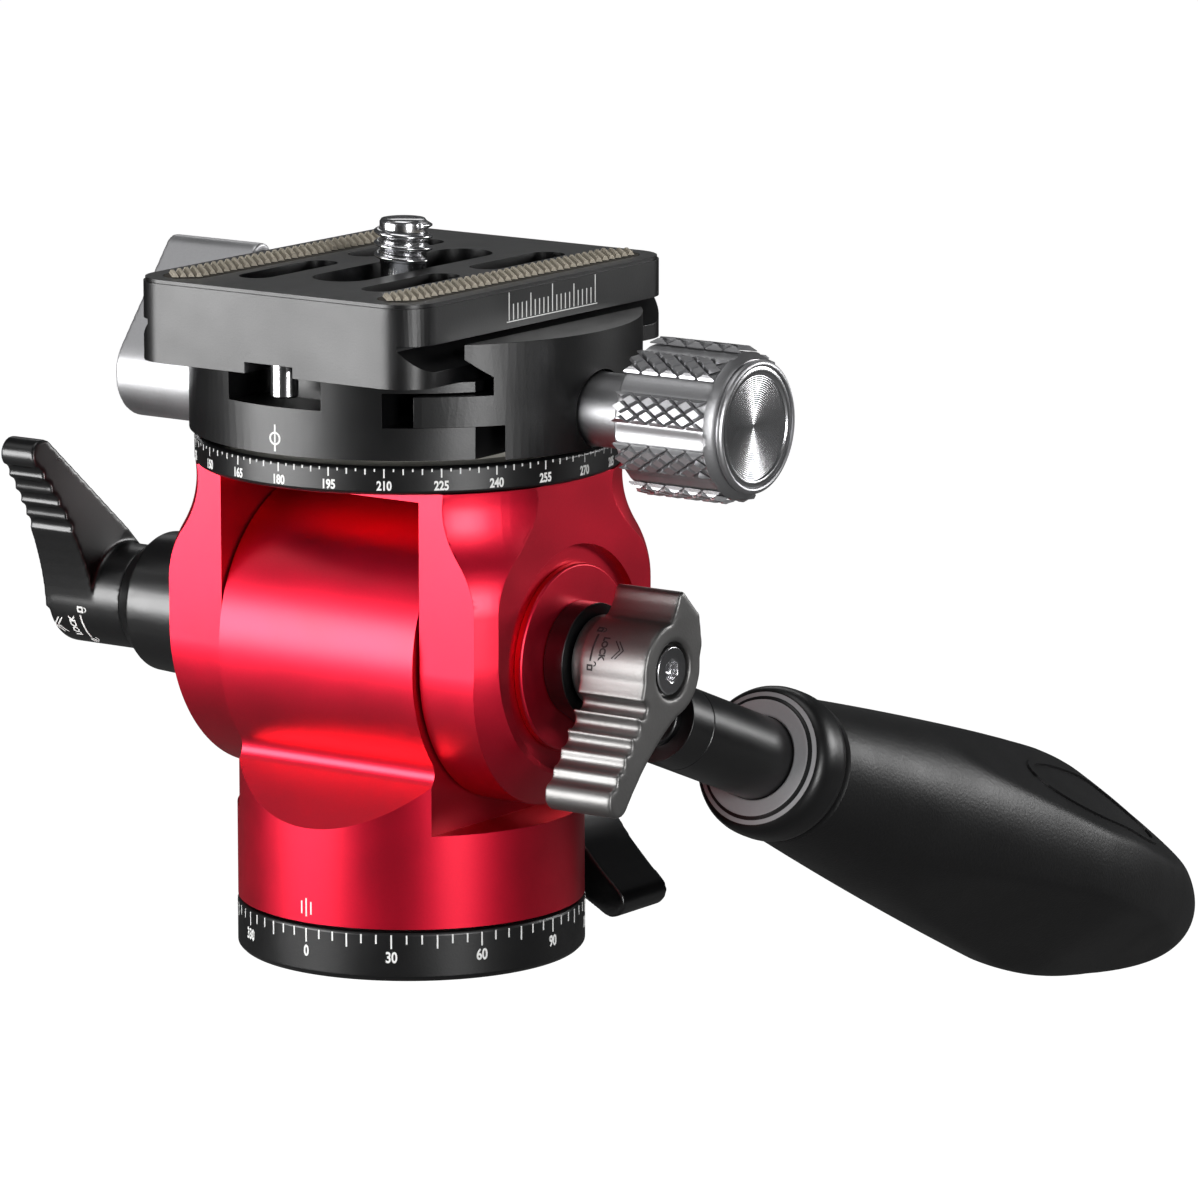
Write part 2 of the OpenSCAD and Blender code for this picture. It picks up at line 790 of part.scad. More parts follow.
module top_dial() {
    color(black) difference() {
        translate([0, 0, dial_z]) rotate_extrude() polygon([
            [0, 0], [dial_r - dial_edge, 0], [dial_r, dial_edge], [dial_r, dial_h - dial_edge],
            [dial_r - dial_edge, dial_h], [0, dial_h]
        ]);
        cylinder(r = pivot_flange_r, h = through * 2);
    }
}

module clamp_pivot() {
    color(steel) difference() {
        union() {
            translate([0, 0, dial_z]) cylinder(r = pivot_flange_r, h = dial_h);
            translate([0, 0, dial_z]) cylinder(r = pivot_r, h = pivot_top - dial_z);
        }
        translate([0, 0, pivot_top - pivot_screw_len]) cylinder(r = pivot_screw_r, h = pivot_screw_len + 1);
        translate([0, 0, dial_top]) mirror([0, 0, 1]) around(pivot_screw_count, pivot_screw_pcd_r)
            countersunk_screw(small_head_r, small_screw_r, dial_h + bridge_t);
    }
}

module pivot_screws() {
    color(steel) translate([0, 0, dial_top]) mirror([0, 0, 1]) around(pivot_screw_count, pivot_screw_pcd_r)
        countersunk_screw(small_head_r, small_screw_r, dial_h + bridge_t);
}

module clamp_drag_disc() {
    color(polymer) ring(clamp_drag_r, pivot_flange_r + 0.6, dial_top, dial_top + clamp_drag_t);
}

module clamp_retainer() {
    color(steel) ring(clamp_retainer_r, pivot_screw_r, pivot_top, pivot_top + clamp_retainer_t);
}

module clamp_retainer_screw() {
    color(steel) translate([0, 0, pivot_top + clamp_retainer_t + pivot_head_h])
        socket_screw(pivot_head_r, pivot_head_h, pivot_screw_r,
                     clamp_retainer_t + pivot_head_h + pivot_screw_len);
}

// Side outline of the fixed jaw, from the clamp's floor up to its hooked lip
module fixed_jaw_outline() {
    lip_z = grip_line + slide - (fixed_wall - jaw_hook);
    polygon([[-through, floor_z - 1], [plate_x - fixed_wall, floor_z - 1],
             [plate_x - fixed_wall, grip_line + slide - fixed_wall],
             [plate_x - fixed_wall + jaw_hook, lip_z], [plate_x - fixed_wall + jaw_hook, jaw_z],
             [-through, jaw_z]]);
}

module clamp_body() {
    color(black) difference() {
        intersection() {
            translate([0, 0, clamp_z]) cylinder(r = clamp_r, h = jaw_z - clamp_z);
            union() {
                translate([-through, -through, clamp_z]) cube([2 * through, 2 * through, clamp_floor_h]);
                translate([0, through, 0]) rotate([90, 0, 0])
                    linear_extrude(2 * through) fixed_jaw_outline();
            }
        }
        translate([lip_end_x, -through, 0]) cube([through, 2 * through, through * 2]);
        for (s = [-1, 1])
            translate([slot_end_x, s > 0 ? boss_half : -through, tongue_z - tongue_gap])
                cube([through, through - boss_half, tongue_t + 2 * tongue_gap]);
        for (s = [-1, 1])
            translate([plate_x - stop_well_half, s > 0 ? stop_well_y : -through, floor_z - stop_well_h])
                cube([2 * stop_well_half, through - stop_well_y, through]);
        translate([0, 0, clamp_z - 1]) cylinder(r = clamp_bush_r, h = clamp_bush_h + 1);
        translate([0, 0, retainer_well_z]) cylinder(r = retainer_well_r, h = through);
        rod_x(knob_screw_r + run, 0, through, knob_z);
        rod_x(clamp_screw_r + run, -through, 0, clamp_lock_z);
    }
}

module clamp_bush() {
    color(bronze) ring(clamp_bush_r, pivot_r + run, clamp_z, clamp_z + clamp_bush_h);
}

module clamp_brake_pad() {
    color(bronze) rod_x(clamp_screw_r, -clamp_bush_r - clamp_pad_len, -clamp_bush_r - slide, clamp_lock_z);
}

// Side outline of the closed jaw: tongue, back face and hooked lip
module jaw_outline(tongue_x) {
    line = grip_line + plate_x + slide;
    hook_x = jaw_face_x - jaw_hook;
    polygon([[jaw_low_x, clamp_z], [jaw_low_x, tongue_z], [tongue_x, tongue_z],
             [tongue_x, tongue_z + tongue_t], [jaw_face_x, tongue_z + tongue_t],
             [jaw_face_x, line - jaw_face_x], [hook_x, line - hook_x], [hook_x, jaw_z],
             [through, jaw_z], [through, clamp_z]]);
}

module jaw() {
    color(black) translate([jaw_open, 0, 0]) difference() {
        intersection() {
            translate([0, 0, clamp_z]) cylinder(r = clamp_r, h = jaw_z - clamp_z);
            union() {
                for (s = [-1, 1])
                    translate([0, s > 0 ? through : -boss_half - boss_gap, 0]) rotate([90, 0, 0])
                        linear_extrude(through - boss_half - boss_gap) jaw_outline(tongue_end_x);
                translate([0, through, 0]) rotate([90, 0, 0])
                    linear_extrude(2 * through) jaw_outline(jaw_low_x);
            }
        }
        rod_x(knob_screw_r + slide, 0, through, knob_z);
        rod_x(knob_seat_r, knob_seat_x - jaw_open, through, knob_z);
    }
}

module clamp_knob() {
    color(silver) difference() {
        translate([0, 0, knob_z]) rotate([0, 90, 0]) rotate_extrude() polygon([
            [0, knob_seat_x], [knob_neck_r, knob_seat_x], [knob_neck_r, knob_x - 0.4],
            [knob_neck_r + knob_chamfer, knob_x], [knob_r - knob_back, knob_x],
            [knob_r, knob_x + knob_back],
            [knob_r, knob_end - knob_chamfer], [knob_r - knob_chamfer, knob_end], [0, knob_end]
        ]);
        rod_x(knob_r - knob_rim, knob_end - knob_face_depth, through, knob_z);
        rod_x(knob_screw_r, 0, knob_screw_out, knob_z);
        for (i = [0:knob_flutes - 1])
            translate([knob_x - 1, 0, knob_z]) rotate([i * 360 / knob_flutes + flute_turn, 0, 0])
                translate([0, 0, knob_r + flute_r - flute_sink]) rotate([0, 90, 0])
                    cylinder(r = flute_r, h = knob_len + 2, $fn = 40);
    }
}

module knob_screw() {
    color(steel) rod_x(knob_screw_r, knob_screw_in, knob_screw_out, knob_z);
}

module knob_cap() {
    color(silver)
        rod_x(knob_r - knob_rim, knob_end - knob_face_depth, knob_end - knob_face_depth / 3, knob_z);
}

// Plate

// Groove that the jaw's lip hooks into, as an outline on the +X side
module dovetail_outline() {
    neck = plate_half - groove_depth;
    polygon([[neck, groove_top], [neck, plate_z + flange_h + groove_depth],
             [plate_half, plate_z + flange_h], [through, plate_z + flange_h], [through, groove_top]]);
}

module side_slots() {
    for (sx = [-1, 1], sy = [-1, 1])
        translate([sx * side_slot_x, sy * side_slot_y]) slot_outline(side_slot_w, side_slot_len);
}

module strip_outline(side) {
    translate([side * strip_x, 0]) rounded_outline(strip_w, strip_len, strip_end_r);
}

module plate() {
    color(black) translate([plate_x, 0, 0]) difference() {
        union() {
            translate([0, 0, plate_z]) linear_extrude(plate_t - plate_chamfer)
                rounded_outline(plate_w, plate_len, plate_corner_r);
            translate([0, 0, plate_top - plate_chamfer]) linear_extrude(plate_chamfer)
                rounded_outline(plate_w - plate_chamfer, plate_len - plate_chamfer,
                                plate_corner_r - plate_chamfer / 2);
        }
        for (m = [0, 1]) mirror([m, 0, 0])
            translate([0, through, 0]) rotate([90, 0, 0]) linear_extrude(2 * through) dovetail_outline();
        translate([0, 0, plate_z - 1]) linear_extrude(plate_t + 2)
            slot_outline(screw_slot_w, screw_slot_len);
        translate([0, 0, plate_z - 1]) linear_extrude(head_well_h + 1)
            slot_outline(head_well_w, head_well_len);
        translate([0, 0, plate_z - 1]) linear_extrude(plate_t + 2) side_slots();
        for (s = [-1, 1])
            translate([0, 0, plate_top - strip_t + strip_proud]) linear_extrude(strip_t) strip_outline(s);
        for (s = [-1, 1]) translate([0, s * stop_y, plate_z - 1]) cylinder(r = stop_r, h = stop_hold + 1);
        for (s = [-1, 1])
            translate([-notch_w / 2, s > 0 ? plate_end - notch_depth : -plate_end - 1, plate_z - 1])
                cube([notch_w, notch_depth + 1, notch_h + 1]);
    }
}

module plate_strip(side) {
    color(rubber) translate([plate_x, 0, plate_top - strip_t + strip_proud])
        linear_extrude(strip_t) strip_outline(side);
}

module plate_strip_left() { plate_strip(-1); }
module plate_strip_right() { plate_strip(1); }

module stop_screws() {
    color(steel) for (s = [-1, 1]) translate([plate_x, s * stop_y, plate_z - stop_drop])
        cylinder(r = stop_r, h = stop_drop + stop_hold);
}

module screw_clip() {
    color(steel) translate([plate_x, 0, 0])
        ring(clip_r, screw_neck_r + run, screw_clip_z, screw_clip_z + clip_t);
}

module camera_screw() {
    crest = plate_top + camera_screw_h;
    thread_z = plate_top + screw_relief;
    color(steel) translate([plate_x, 0, 0]) difference() {
        union() {
            translate([0, 0, screw_head_z]) cylinder(r = screw_head_r, h = screw_head_h);
            translate([0, 0, screw_head_z])
                cylinder(r = screw_neck_r, h = crest - screw_tip_h - screw_head_z);
            translate([0, 0, thread_z]) cylinder(r = camera_screw_r, h = crest - screw_tip_h - thread_z);
            translate([0, 0, crest - screw_tip_h])
                cylinder(r1 = camera_screw_r, r2 = camera_screw_r - screw_tip_h, h = screw_tip_h);
        }
        translate([-through, -driver_slot / 2, screw_head_z - 1])
            cube([2 * through, driver_slot, driver_depth + 1]);
    }
}

// Levers

module clamp_lever() {
    outer = -clamp_lever_x - clamp_lever_t;
    under = flank(hub_r, clamp_lever_len, -1);
    color(silver) difference() {
        on_x_axis(outer, clamp_lock_z, clamp_lever_turn) difference() {
            union() {
                cylinder(r = hub_r, h = clamp_lever_t);
                linear_extrude(clamp_lever_t) tapered_arm(hub_r, clamp_lever_len);
            }
            finger_grooves(under[1], under[0], -1, clamp_lever_t);
        }
        rod_x(clamp_screw_r, -through, 0, clamp_lock_z);
        rod_x(lever_well_r, -through, outer + lever_well_depth, clamp_lock_z);
    }
}

module clamp_lever_screw() {
    face = -clamp_lever_x - clamp_lever_t + lever_head_drop;
    color(steel) translate([face, 0, clamp_lock_z]) rotate([0, -90, 0])
        socket_screw(lever_head_r, lever_well_depth - lever_head_drop, clamp_screw_r,
                     -face - clamp_bush_r - clamp_pad_len - slide);
}

module tilt_lever() {
    outer = -tilt_lever_x - tilt_lever_t;
    groove_share = groove_pitch / (2 * (1 - hollow_share) * tilt_lever_len);
    color(black) difference() {
        on_x_axis(outer, tilt_z, tilt_lever_turn) union() {
            difference() {
                linear_extrude(tilt_arm_t) hollow_arm(tilt_hub_r, tilt_lever_len);
                translate([tilt_hub_r, -through, tilt_arm_t]) rotate([0, tilt_arm_lean, 0])
                    cube([through, 2 * through, through]);
                for (i = [0:lever_grooves - 1]) {
                    at = hollow_point(tilt_hub_r, tilt_lever_len, groove_share * (i + 0.5));
                    translate([at[0], at[1] + groove_r * groove_lift, -1])
                        cylinder(r = groove_r, h = tilt_arm_t + 2, $fn = 32);
                }
            }
            rounded_hub(tilt_hub_r, tilt_lever_t, tilt_hub_edge);
        }
        rod_x(lever_screw_r, -through, 0, tilt_z);
        rod_x(lever_well_r, -through, outer + lever_well_depth, tilt_z);
    }
}

module tilt_lever_screw() {
    face = -tilt_lever_x - tilt_lever_t + lever_head_drop;
    color(steel) translate([face, 0, tilt_z]) rotate([0, -90, 0])
        socket_screw(lever_head_r, lever_well_depth - lever_head_drop, lever_screw_r,
                     -face - shaft_end - brake_pad_len - slide);
}

module handle_lever() {
    outer = handle_lever_x + handle_lever_t;
    arm_end = handle_lever_len - tip_r;
    color(silver) difference() {
        union() {
            on_x_axis(handle_lever_x, tilt_z, handle_lever_turn) difference() {
                linear_extrude(handle_lever_t) nosed_outline(handle_lever_len);
                finger_grooves([arm_end, -tip_r], [0, -tip_r], -1, handle_lever_t);
            }
            rod_x(handle_boss_r, handle_lever_x - handle_boss_len, handle_lever_x + 1, tilt_z);
        }
        rod_x(stud_r + run, 0, outer - lever_well_depth - 1, tilt_z);
        rod_x(socket_af_r + pass + slide, 0, through, tilt_z);
        rod_x(lever_well_r, outer - lever_well_depth, through, tilt_z);
    }
}

module handle_lever_screw() {
    face = handle_lever_x + handle_lever_t - lever_head_drop;
    color(steel) translate([face, 0, tilt_z]) rotate([0, 90, 0])
        socket_screw(lever_head_r, lever_well_depth - lever_head_drop, socket_af_r + pass - run,
                     handle_screw_len);
}

module pan_lever() {
    outer = pan_lever_y + pan_lever_t;
    color(black) difference() {
        union() {
            translate([0, outer, pan_lock_z]) rotate([90, 0, 0]) rotate([0, 0, pan_lever_turn])
                linear_extrude(pan_lever_t) {
                    circle(r = pan_hub_r);
                    hollow_arm(pan_hub_r, pan_lever_len);
                }
            rod_y(pan_neck_r, pan_spot_y + pass, pan_lever_y + 1, 0, pan_lock_z);
        }
        rod_y(lever_screw_r, 0, through, 0, pan_lock_z);
        rod_y(lever_well_r, outer - lever_well_depth, through, 0, pan_lock_z);
    }
}

module pan_lever_screw() {
    face = pan_lever_y + pan_lever_t - lever_head_drop;
    color(steel) translate([0, face, pan_lock_z]) rotate([-90, 0, 0])
        socket_screw(lever_head_r, lever_well_depth - lever_head_drop, lever_screw_r, face - pan_bush_y);
}

// Handle, drawn along +Y from the tilt axis and then sloped

module on_handle() {
    translate([0, 0, tilt_z]) rotate([-handle_slope, 0, 0]) children();
}

module handle_bar(r, s0, s1) {
    translate([handle_x, s0, -handle_drop]) rotate([-90, 0, 0]) cylinder(r = r, h = s1 - s0);
}

module handle_arm() {
    web_end = shank_end - pass;
    upper = [web_end, rod_r - handle_drop];
    lower = [web_end, -rod_r - handle_drop];
    color(black) difference() {
        on_handle() union() {
            translate([arm_x, 0, 0]) rotate([90, 0, 90]) linear_extrude(arm_t) {
                circle(r = eye_r);
                polygon([touch(upper, eye_r, 1), upper, lower, touch(lower, eye_r, -1)]);
            }
            handle_bar(rod_r, shank_start, shank_end);
        }
        rod_x(stud_r + run, 0, through, tilt_z);
        on_handle() handle_bar(rod_spigot_r, shank_end - rod_spigot_len, shank_end + 1);
    }
}

module handle_rod() {
    color(black) on_handle() union() {
        handle_bar(rod_spigot_r, shank_end - rod_spigot_len, shank_end + 1);
        handle_bar(rod_r, shank_end, grip_start + rod_in_grip);
    }
}

module handle_turned() {
    on_handle() translate([handle_x, 0, -handle_drop]) rotate([-90, 0, 0]) rotate_extrude() children();
}

module grip_collar() {
    mid = grip_start + 3;
    color(black) difference() {
        handle_turned() polygon(concat(
            [[0, grip_start], [collar_front_r, grip_start]],
            bend_points([collar_front_r + 0.4, grip_start + 0.3], [collar_ring_r, grip_start + 0.4],
                        [collar_ring_r, mid], 6),
            bend_points([collar_ring_r, mid + 1.2], [collar_ring_r, grip_body - 0.7],
                        [grip_neck_r - 0.8, grip_body - 0.5], 6),
            [[grip_neck_r - 0.8, grip_body], [0, grip_body]]));
        on_handle() handle_bar(rod_r, 0, grip_end);
    }
}

// Place along the handle at a share t of the grip's length
function grip_at(t) = grip_start + grip_len * t;

// Half outline of the grip: it swells from the neck, draws in and ends bluntly
module grip_outline() {
    swell = bend_points([grip_neck_r, grip_body], [0.86 * grip_max_r, grip_at(0.334)],
                        [grip_max_r, grip_at(grip_max_at)], swell_steps);
    draw = bend_points([grip_max_r, grip_at(grip_max_at)], [1.015 * grip_max_r, grip_at(0.715)],
                       [draw_r, grip_at(draw_at)], end_steps);
    blunt = bend_points([draw_r, grip_at(draw_at)], [0.63 * grip_max_r, grip_at(0.921)],
                        [blunt_r, grip_at(blunt_at)], end_steps);
    end = bend_points([blunt_r, grip_at(blunt_at)], [0.3 * grip_max_r, grip_end], [0, grip_end], end_steps);
    polygon(concat([[0, grip_body]], swell, draw, blunt, end));
}

module handle_grip() {
    color(grip_black) difference() {
        handle_turned() grip_outline();
        on_handle() handle_bar(rod_r, 0, grip_start + rod_in_grip);
        for (f = grip_facets)
            on_handle() translate([handle_x, grip_at(f[0]), -handle_drop])
                rotate([0, f[2], 0]) rotate([-f[3], 0, 0])
                    translate([-through, -through, f[1]]) cube([2 * through, 2 * through, through]);
    }
}

base_dial();
pan_spindle();
base_screws();
pan_drag_disc();
pan_retainer();
pan_retainer_screw();
pan_column();
pan_bush_lower();
pan_bush_upper();
pan_brake_shoe();
pan_lock_bush();
tilt_shaft();
tilt_drag_disc_left();
tilt_drag_disc_right();
yoke();
tilt_bush_left();
tilt_bush_right();
yoke_cap();
tilt_collar();
tilt_brake_pad();
handle_stud();
top_dial();
clamp_pivot();
pivot_screws();
clamp_drag_disc();
clamp_retainer();
clamp_retainer_screw();
clamp_body();
clamp_bush();
clamp_brake_pad();
jaw();
clamp_knob();
knob_screw();
knob_cap();
plate();
plate_strip_left();
plate_strip_right();
stop_screws();
screw_clip();
camera_screw();
clamp_lever();
clamp_lever_screw();
tilt_lever();
tilt_lever_screw();
handle_lever();
handle_lever_screw();
pan_lever();
pan_lever_screw();
handle_arm();
handle_rod();
grip_collar();
handle_grip();
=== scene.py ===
# Small two-axis fluid head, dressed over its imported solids: camera and light, finishes, then pieces.
import json
import math

import bmesh
import bpy
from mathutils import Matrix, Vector
from mathutils.bvhtree import BVHTree

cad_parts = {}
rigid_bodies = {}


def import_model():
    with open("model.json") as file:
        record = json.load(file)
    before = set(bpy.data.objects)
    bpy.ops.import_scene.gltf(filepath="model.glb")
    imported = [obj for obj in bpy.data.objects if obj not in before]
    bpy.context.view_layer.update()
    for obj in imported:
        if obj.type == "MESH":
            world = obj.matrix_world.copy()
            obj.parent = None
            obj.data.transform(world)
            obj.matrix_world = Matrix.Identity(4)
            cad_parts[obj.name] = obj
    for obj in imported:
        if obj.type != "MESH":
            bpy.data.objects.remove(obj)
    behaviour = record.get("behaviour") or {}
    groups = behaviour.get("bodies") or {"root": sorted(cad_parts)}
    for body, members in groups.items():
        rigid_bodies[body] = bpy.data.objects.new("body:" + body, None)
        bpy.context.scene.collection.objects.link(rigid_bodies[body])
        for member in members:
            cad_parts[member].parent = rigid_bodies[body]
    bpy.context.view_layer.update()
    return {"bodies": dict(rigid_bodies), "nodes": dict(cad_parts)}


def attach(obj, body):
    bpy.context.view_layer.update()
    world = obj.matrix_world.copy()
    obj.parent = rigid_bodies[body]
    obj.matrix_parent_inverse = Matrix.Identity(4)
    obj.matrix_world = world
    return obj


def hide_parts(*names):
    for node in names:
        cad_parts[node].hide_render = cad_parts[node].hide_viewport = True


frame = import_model()
mm = 0.001
# Turns of a surface sharper than this, in degrees, are edges
SHARP = 32
# Sizes in mm that several pieces share
FOOT_R = 19.05
TOP_R = 23.3
TILT_HEIGHT = 34.4
CAMERA_SCREW_X = -0.7


# Shared steps

def placed(name, data):
    """A new object in the scene."""
    made = bpy.data.objects.new(name, data)
    bpy.context.scene.collection.objects.link(made)
    return made


def applied(holder):
    """A helper object's mesh with its modifiers in it; the helper itself goes."""
    mesh = bpy.data.meshes.new_from_object(holder.evaluated_get(bpy.context.evaluated_depsgraph_get()))
    bpy.data.objects.remove(holder)
    return mesh


def merged(node):
    """A copy of a node's mesh, and its loose triangles joined, to work on."""
    mesh = frame["nodes"][node].data.copy()
    work = bmesh.new()
    work.from_mesh(mesh)
    bmesh.ops.remove_doubles(work, verts=work.verts, dist=0.002 * mm)
    return mesh, work


def smoothed(work, mesh, material, crease):
    """Writes the work to its mesh in one finish, smooth but for turns sharper than crease, in degrees."""
    for face in work.faces:
        face.smooth = True
    work.to_mesh(mesh)
    work.free()
    mesh.materials.clear()
    mesh.materials.append(material)
    mesh.set_sharp_from_angle(angle=math.radians(crease))
    return mesh


def body_of(node):
    """Name of the body that carries a node."""
    return next(b for b, empty in frame["bodies"].items() if frame["nodes"][node].parent is empty)


def piece(name, mesh, body, *nodes):
    """A finished mesh as a piece that moves with a body, in place of the nodes that it stands for."""
    made = placed(name, mesh)
    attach(made, body)
    if nodes:
        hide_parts(*nodes)
    return made


def add(tree, kind, inputs=None, **settings):
    """Adds one node to a tree, with its settings, and fills or links its inputs."""
    made = tree.nodes.new(kind)
    for name, value in settings.items():
        setattr(made, name, value)
    for name, value in (inputs or {}).items():
        if isinstance(value, bpy.types.NodeSocket):
            tree.links.new(value, made.inputs[name])
        else:
            made.inputs[name].default_value = value
    return made


def linear(colour):
    """sRGB hex colour as linear RGBA."""
    parts = [int(colour[i:i + 2], 16) / 255 for i in (1, 3, 5)]
    return tuple(c / 12.92 if c <= 0.04045 else ((c + 0.055) / 1.055) ** 2.4 for c in parts) + (1.0,)


# Camera and light

def photo_camera(azimuth, elevation, distance, sideways, height, lens):
    """Camera at the photograph's angle; lengths in mm, aimed past a point beside the foot's centre."""
    a = math.radians(azimuth)
    e = math.radians(elevation)
    back = Vector((math.sin(a) * math.cos(e), -math.cos(a) * math.cos(e), math.sin(e)))
    right = Vector((math.cos(a), math.sin(a), 0))
    data = bpy.data.cameras.new("photo_camera")
    data.lens = lens
    data.sensor_width = 36
    data.clip_start = 0.05
    data.clip_end = 20
    camera = placed("photo_camera", data)
    camera.location = (right * sideways + Vector((0, 0, height)) + back * distance) * mm
    camera.rotation_euler = (-back).to_track_quat("-Z", "Y").to_euler()
    bpy.context.scene.camera = camera


photo_camera(azimuth=35.23, elevation=10.99, distance=840.13, sideways=20.62, height=38.18, lens=231.4)


LIT_POINT = Vector((0.015, 0.02, 0.04))


def soft_box(name, place, size, watts):
    """Rectangular studio light that faces the middle of the head; place and size are in metres."""
    data = bpy.data.lights.new(name, "AREA")
    data.shape = "RECTANGLE"
    data.size, data.size_y = size
    data.energy = watts
    light = placed(name, data)
    light.location = place
    light.visible_camera = False
    light.rotation_euler = (LIT_POINT - Vector(place)).to_track_quat("-Z", "Y").to_euler()


# At the mirror directions of the photograph's highlights: a low card to the left, a slim one to the right
# and one behind, then weaker boxes above
soft_box("key_card", (-0.215, -0.335, 0.062), size=(0.34, 0.16), watts=2.0)
soft_box("slim_card", (0.46, -0.207, 0.09), size=(0.14, 0.22), watts=1.5)
soft_box("rear_card", (0.294, 0.418, 0.145), size=(0.18, 0.13), watts=0.88)
soft_box("top_box", (0.02, -0.05, 0.66), size=(0.46, 0.30), watts=0.8)
soft_box("back_box", (-0.30, 0.50, 0.42), size=(0.40, 0.16), watts=0.3)
soft_box("left_high", (-0.36, -0.25, 0.46), size=(0.20, 0.20), watts=0.12)


def studio_room():
    """White to the camera, a dimmer grey in reflections, so that metal keeps its dark sides."""
    world = bpy.data.worlds.new("studio_room")
    world.use_nodes = True
    tree = world.node_tree
    tree.nodes.clear()
    path = add(tree, "ShaderNodeLightPath")
    seen = add(tree, "ShaderNodeBackground", {"Color": linear("#FFFFFF"), "Strength": 1.0})
    mirrored = add(tree, "ShaderNodeBackground", {"Color": linear("#E8EBEE"), "Strength": 0.06})
    mixed = add(tree, "ShaderNodeMixShader", {0: path.outputs["Is Camera Ray"],
                                              1: mirrored.outputs[0], 2: seen.outputs[0]})
    add(tree, "ShaderNodeOutputWorld", {"Surface": mixed.outputs[0]})
    bpy.context.scene.world = world
    bpy.context.scene.view_settings.view_transform = "Standard"


studio_room()


# Finishes

# Width of the clouds in mm, and the grit's depth as a share of its width
CLOUD_MM = 9
GRIT_DEPTH = 0.3


def finish(name, colour, metallic, roughness, grit_mm, grit, vary=0.04, ior=1.5, coat=0.0, tint=0.1):
    """Base of every finish: a fine grit in its bump and colour, and wide, slight clouds in its roughness."""
    made = bpy.data.materials.new(name)
    made.use_nodes = True
    tree = made.node_tree
    tree.nodes.clear()
    place = add(tree, "ShaderNodeTexCoord")
    speck = add(tree, "ShaderNodeTexNoise", {"Vector": place.outputs["Object"],
                                             "Scale": 1 / (grit_mm * mm), "Detail": 2.0})
    cloud = add(tree, "ShaderNodeTexNoise", {"Vector": place.outputs["Object"],
                                             "Scale": 1 / (CLOUD_MM * mm), "Detail": 3.0})
    sheen = add(tree, "ShaderNodeMapRange", {"Value": cloud.outputs[0], "From Min": 0.3, "From Max": 0.7,
                                             "To Min": roughness - vary, "To Max": roughness + vary})
    full = linear(colour)
    shade = tuple(c * (1 - tint) for c in full[:3]) + (1.0,)
    dye = add(tree, "ShaderNodeMix", {0: speck.outputs[0], 6: shade, 7: full}, data_type="RGBA")
    bump = add(tree, "ShaderNodeBump", {"Height": speck.outputs[0], "Strength": grit,
                                        "Distance": grit_mm * mm * GRIT_DEPTH})
    shader = add(tree, "ShaderNodeBsdfPrincipled", {
        "Base Color": dye.outputs[2], "Metallic": metallic, "IOR": ior, "Coat Weight": coat,
        "Coat Roughness": 0.3, "Roughness": sheen.outputs[0], "Normal": bump.outputs[0]})
    add(tree, "ShaderNodeOutputMaterial", {"Surface": shader.outputs[0]})
    return made


# Dyed, bead-blasted aluminium under its clear oxide: deep red with soft, pinkish highlights
red_anodised = finish("red_anodised_aluminium", "#E01134",
                      metallic=1.0, roughness=0.43, grit_mm=0.25, grit=0.1, coat=0.5)
# The same blasting dyed black: the oxide alone reflects, in broad and even grey highlights
black_anodised = finish("black_anodised_aluminium", "#050506",
                        metallic=0.0, roughness=0.36, grit_mm=0.25, grit=0.1, ior=1.57)
# Black anodising over a tumbled casting or a turned rod: smoother, so that its edges shine in thin lines
black_polished = finish("black_anodised_tumbled", "#040405",
                        metallic=0.0, roughness=0.31, grit_mm=0.3, grit=0.05, ior=1.65)
# Clear anodising over a turned and knurled part: grey, satin
silver_anodised = finish("silver_anodised_aluminium", "#B4B4B6",
                         metallic=1.0, roughness=0.42, grit_mm=0.3, grit=0.12)
# A blasted casting under grey anodising: darker and softer than the turned parts
grey_anodised = finish("grey_anodised_casting", "#848382",
                       metallic=1.0, roughness=0.45, grit_mm=0.3, grit=0.15)
# The clamp's lever, blasted more finely and left clear: the palest of the castings
pale_anodised = finish("clear_anodised_casting", "#D6D6D8",
                       metallic=1.0, roughness=0.42, grit_mm=0.3, grit=0.12)
# The knob's end, turned and left bare: rings of light that open into rays
spun_aluminium = finish("spun_aluminium", "#CCCCCE",
                        metallic=1.0, roughness=0.25, grit_mm=0.3, grit=0.02, vary=0.02)
# Turned stainless steel: bright, with sharp highlights
bright_steel = finish("turned_stainless_steel", "#E2E2E4",
                      metallic=1.0, roughness=0.2, grit_mm=0.4, grit=0.04)
# Zinc-plated steel of screws and shafts inside
plated_steel = finish("plated_steel", "#A9ABAE",
                      metallic=1.0, roughness=0.3, grit_mm=0.4, grit=0.08)
# Sintered bronze of bushes and brake pads: porous and dull gold
sintered_bronze = finish("sintered_bronze", "#A67F46",
                         metallic=1.0, roughness=0.48, grit_mm=0.35, grit=0.4, tint=0.3)
# Milky drag discs of filled fluoropolymer: waxy
drag_polymer = finish("filled_fluoropolymer", "#DAD7CC",
                      metallic=0.0, roughness=0.45, grit_mm=0.5, grit=0.1)
# Moulded rubber of the plate's strips: dry, warm grey
strip_rubber = finish("moulded_rubber_strip", "#C6BDAC",
                      metallic=0.0, roughness=0.7, grit_mm=0.3, grit=0.3, tint=0.2)
# The same strip between its studs, made darker: painted shade where the studs shade it
strip_painted_shade = finish("moulded_rubber_painted_shade", "#4A463F",
                      metallic=0.0, roughness=0.85, grit_mm=0.3, grit=0.3, tint=0.25)
# Soft-touch moulding of the grip: matte black with a fine leather-like grain
grip_rubber = finish("moulded_soft_grip", "#080809",
                     metallic=0.0, roughness=0.46, grit_mm=0.35, grit=0.3)
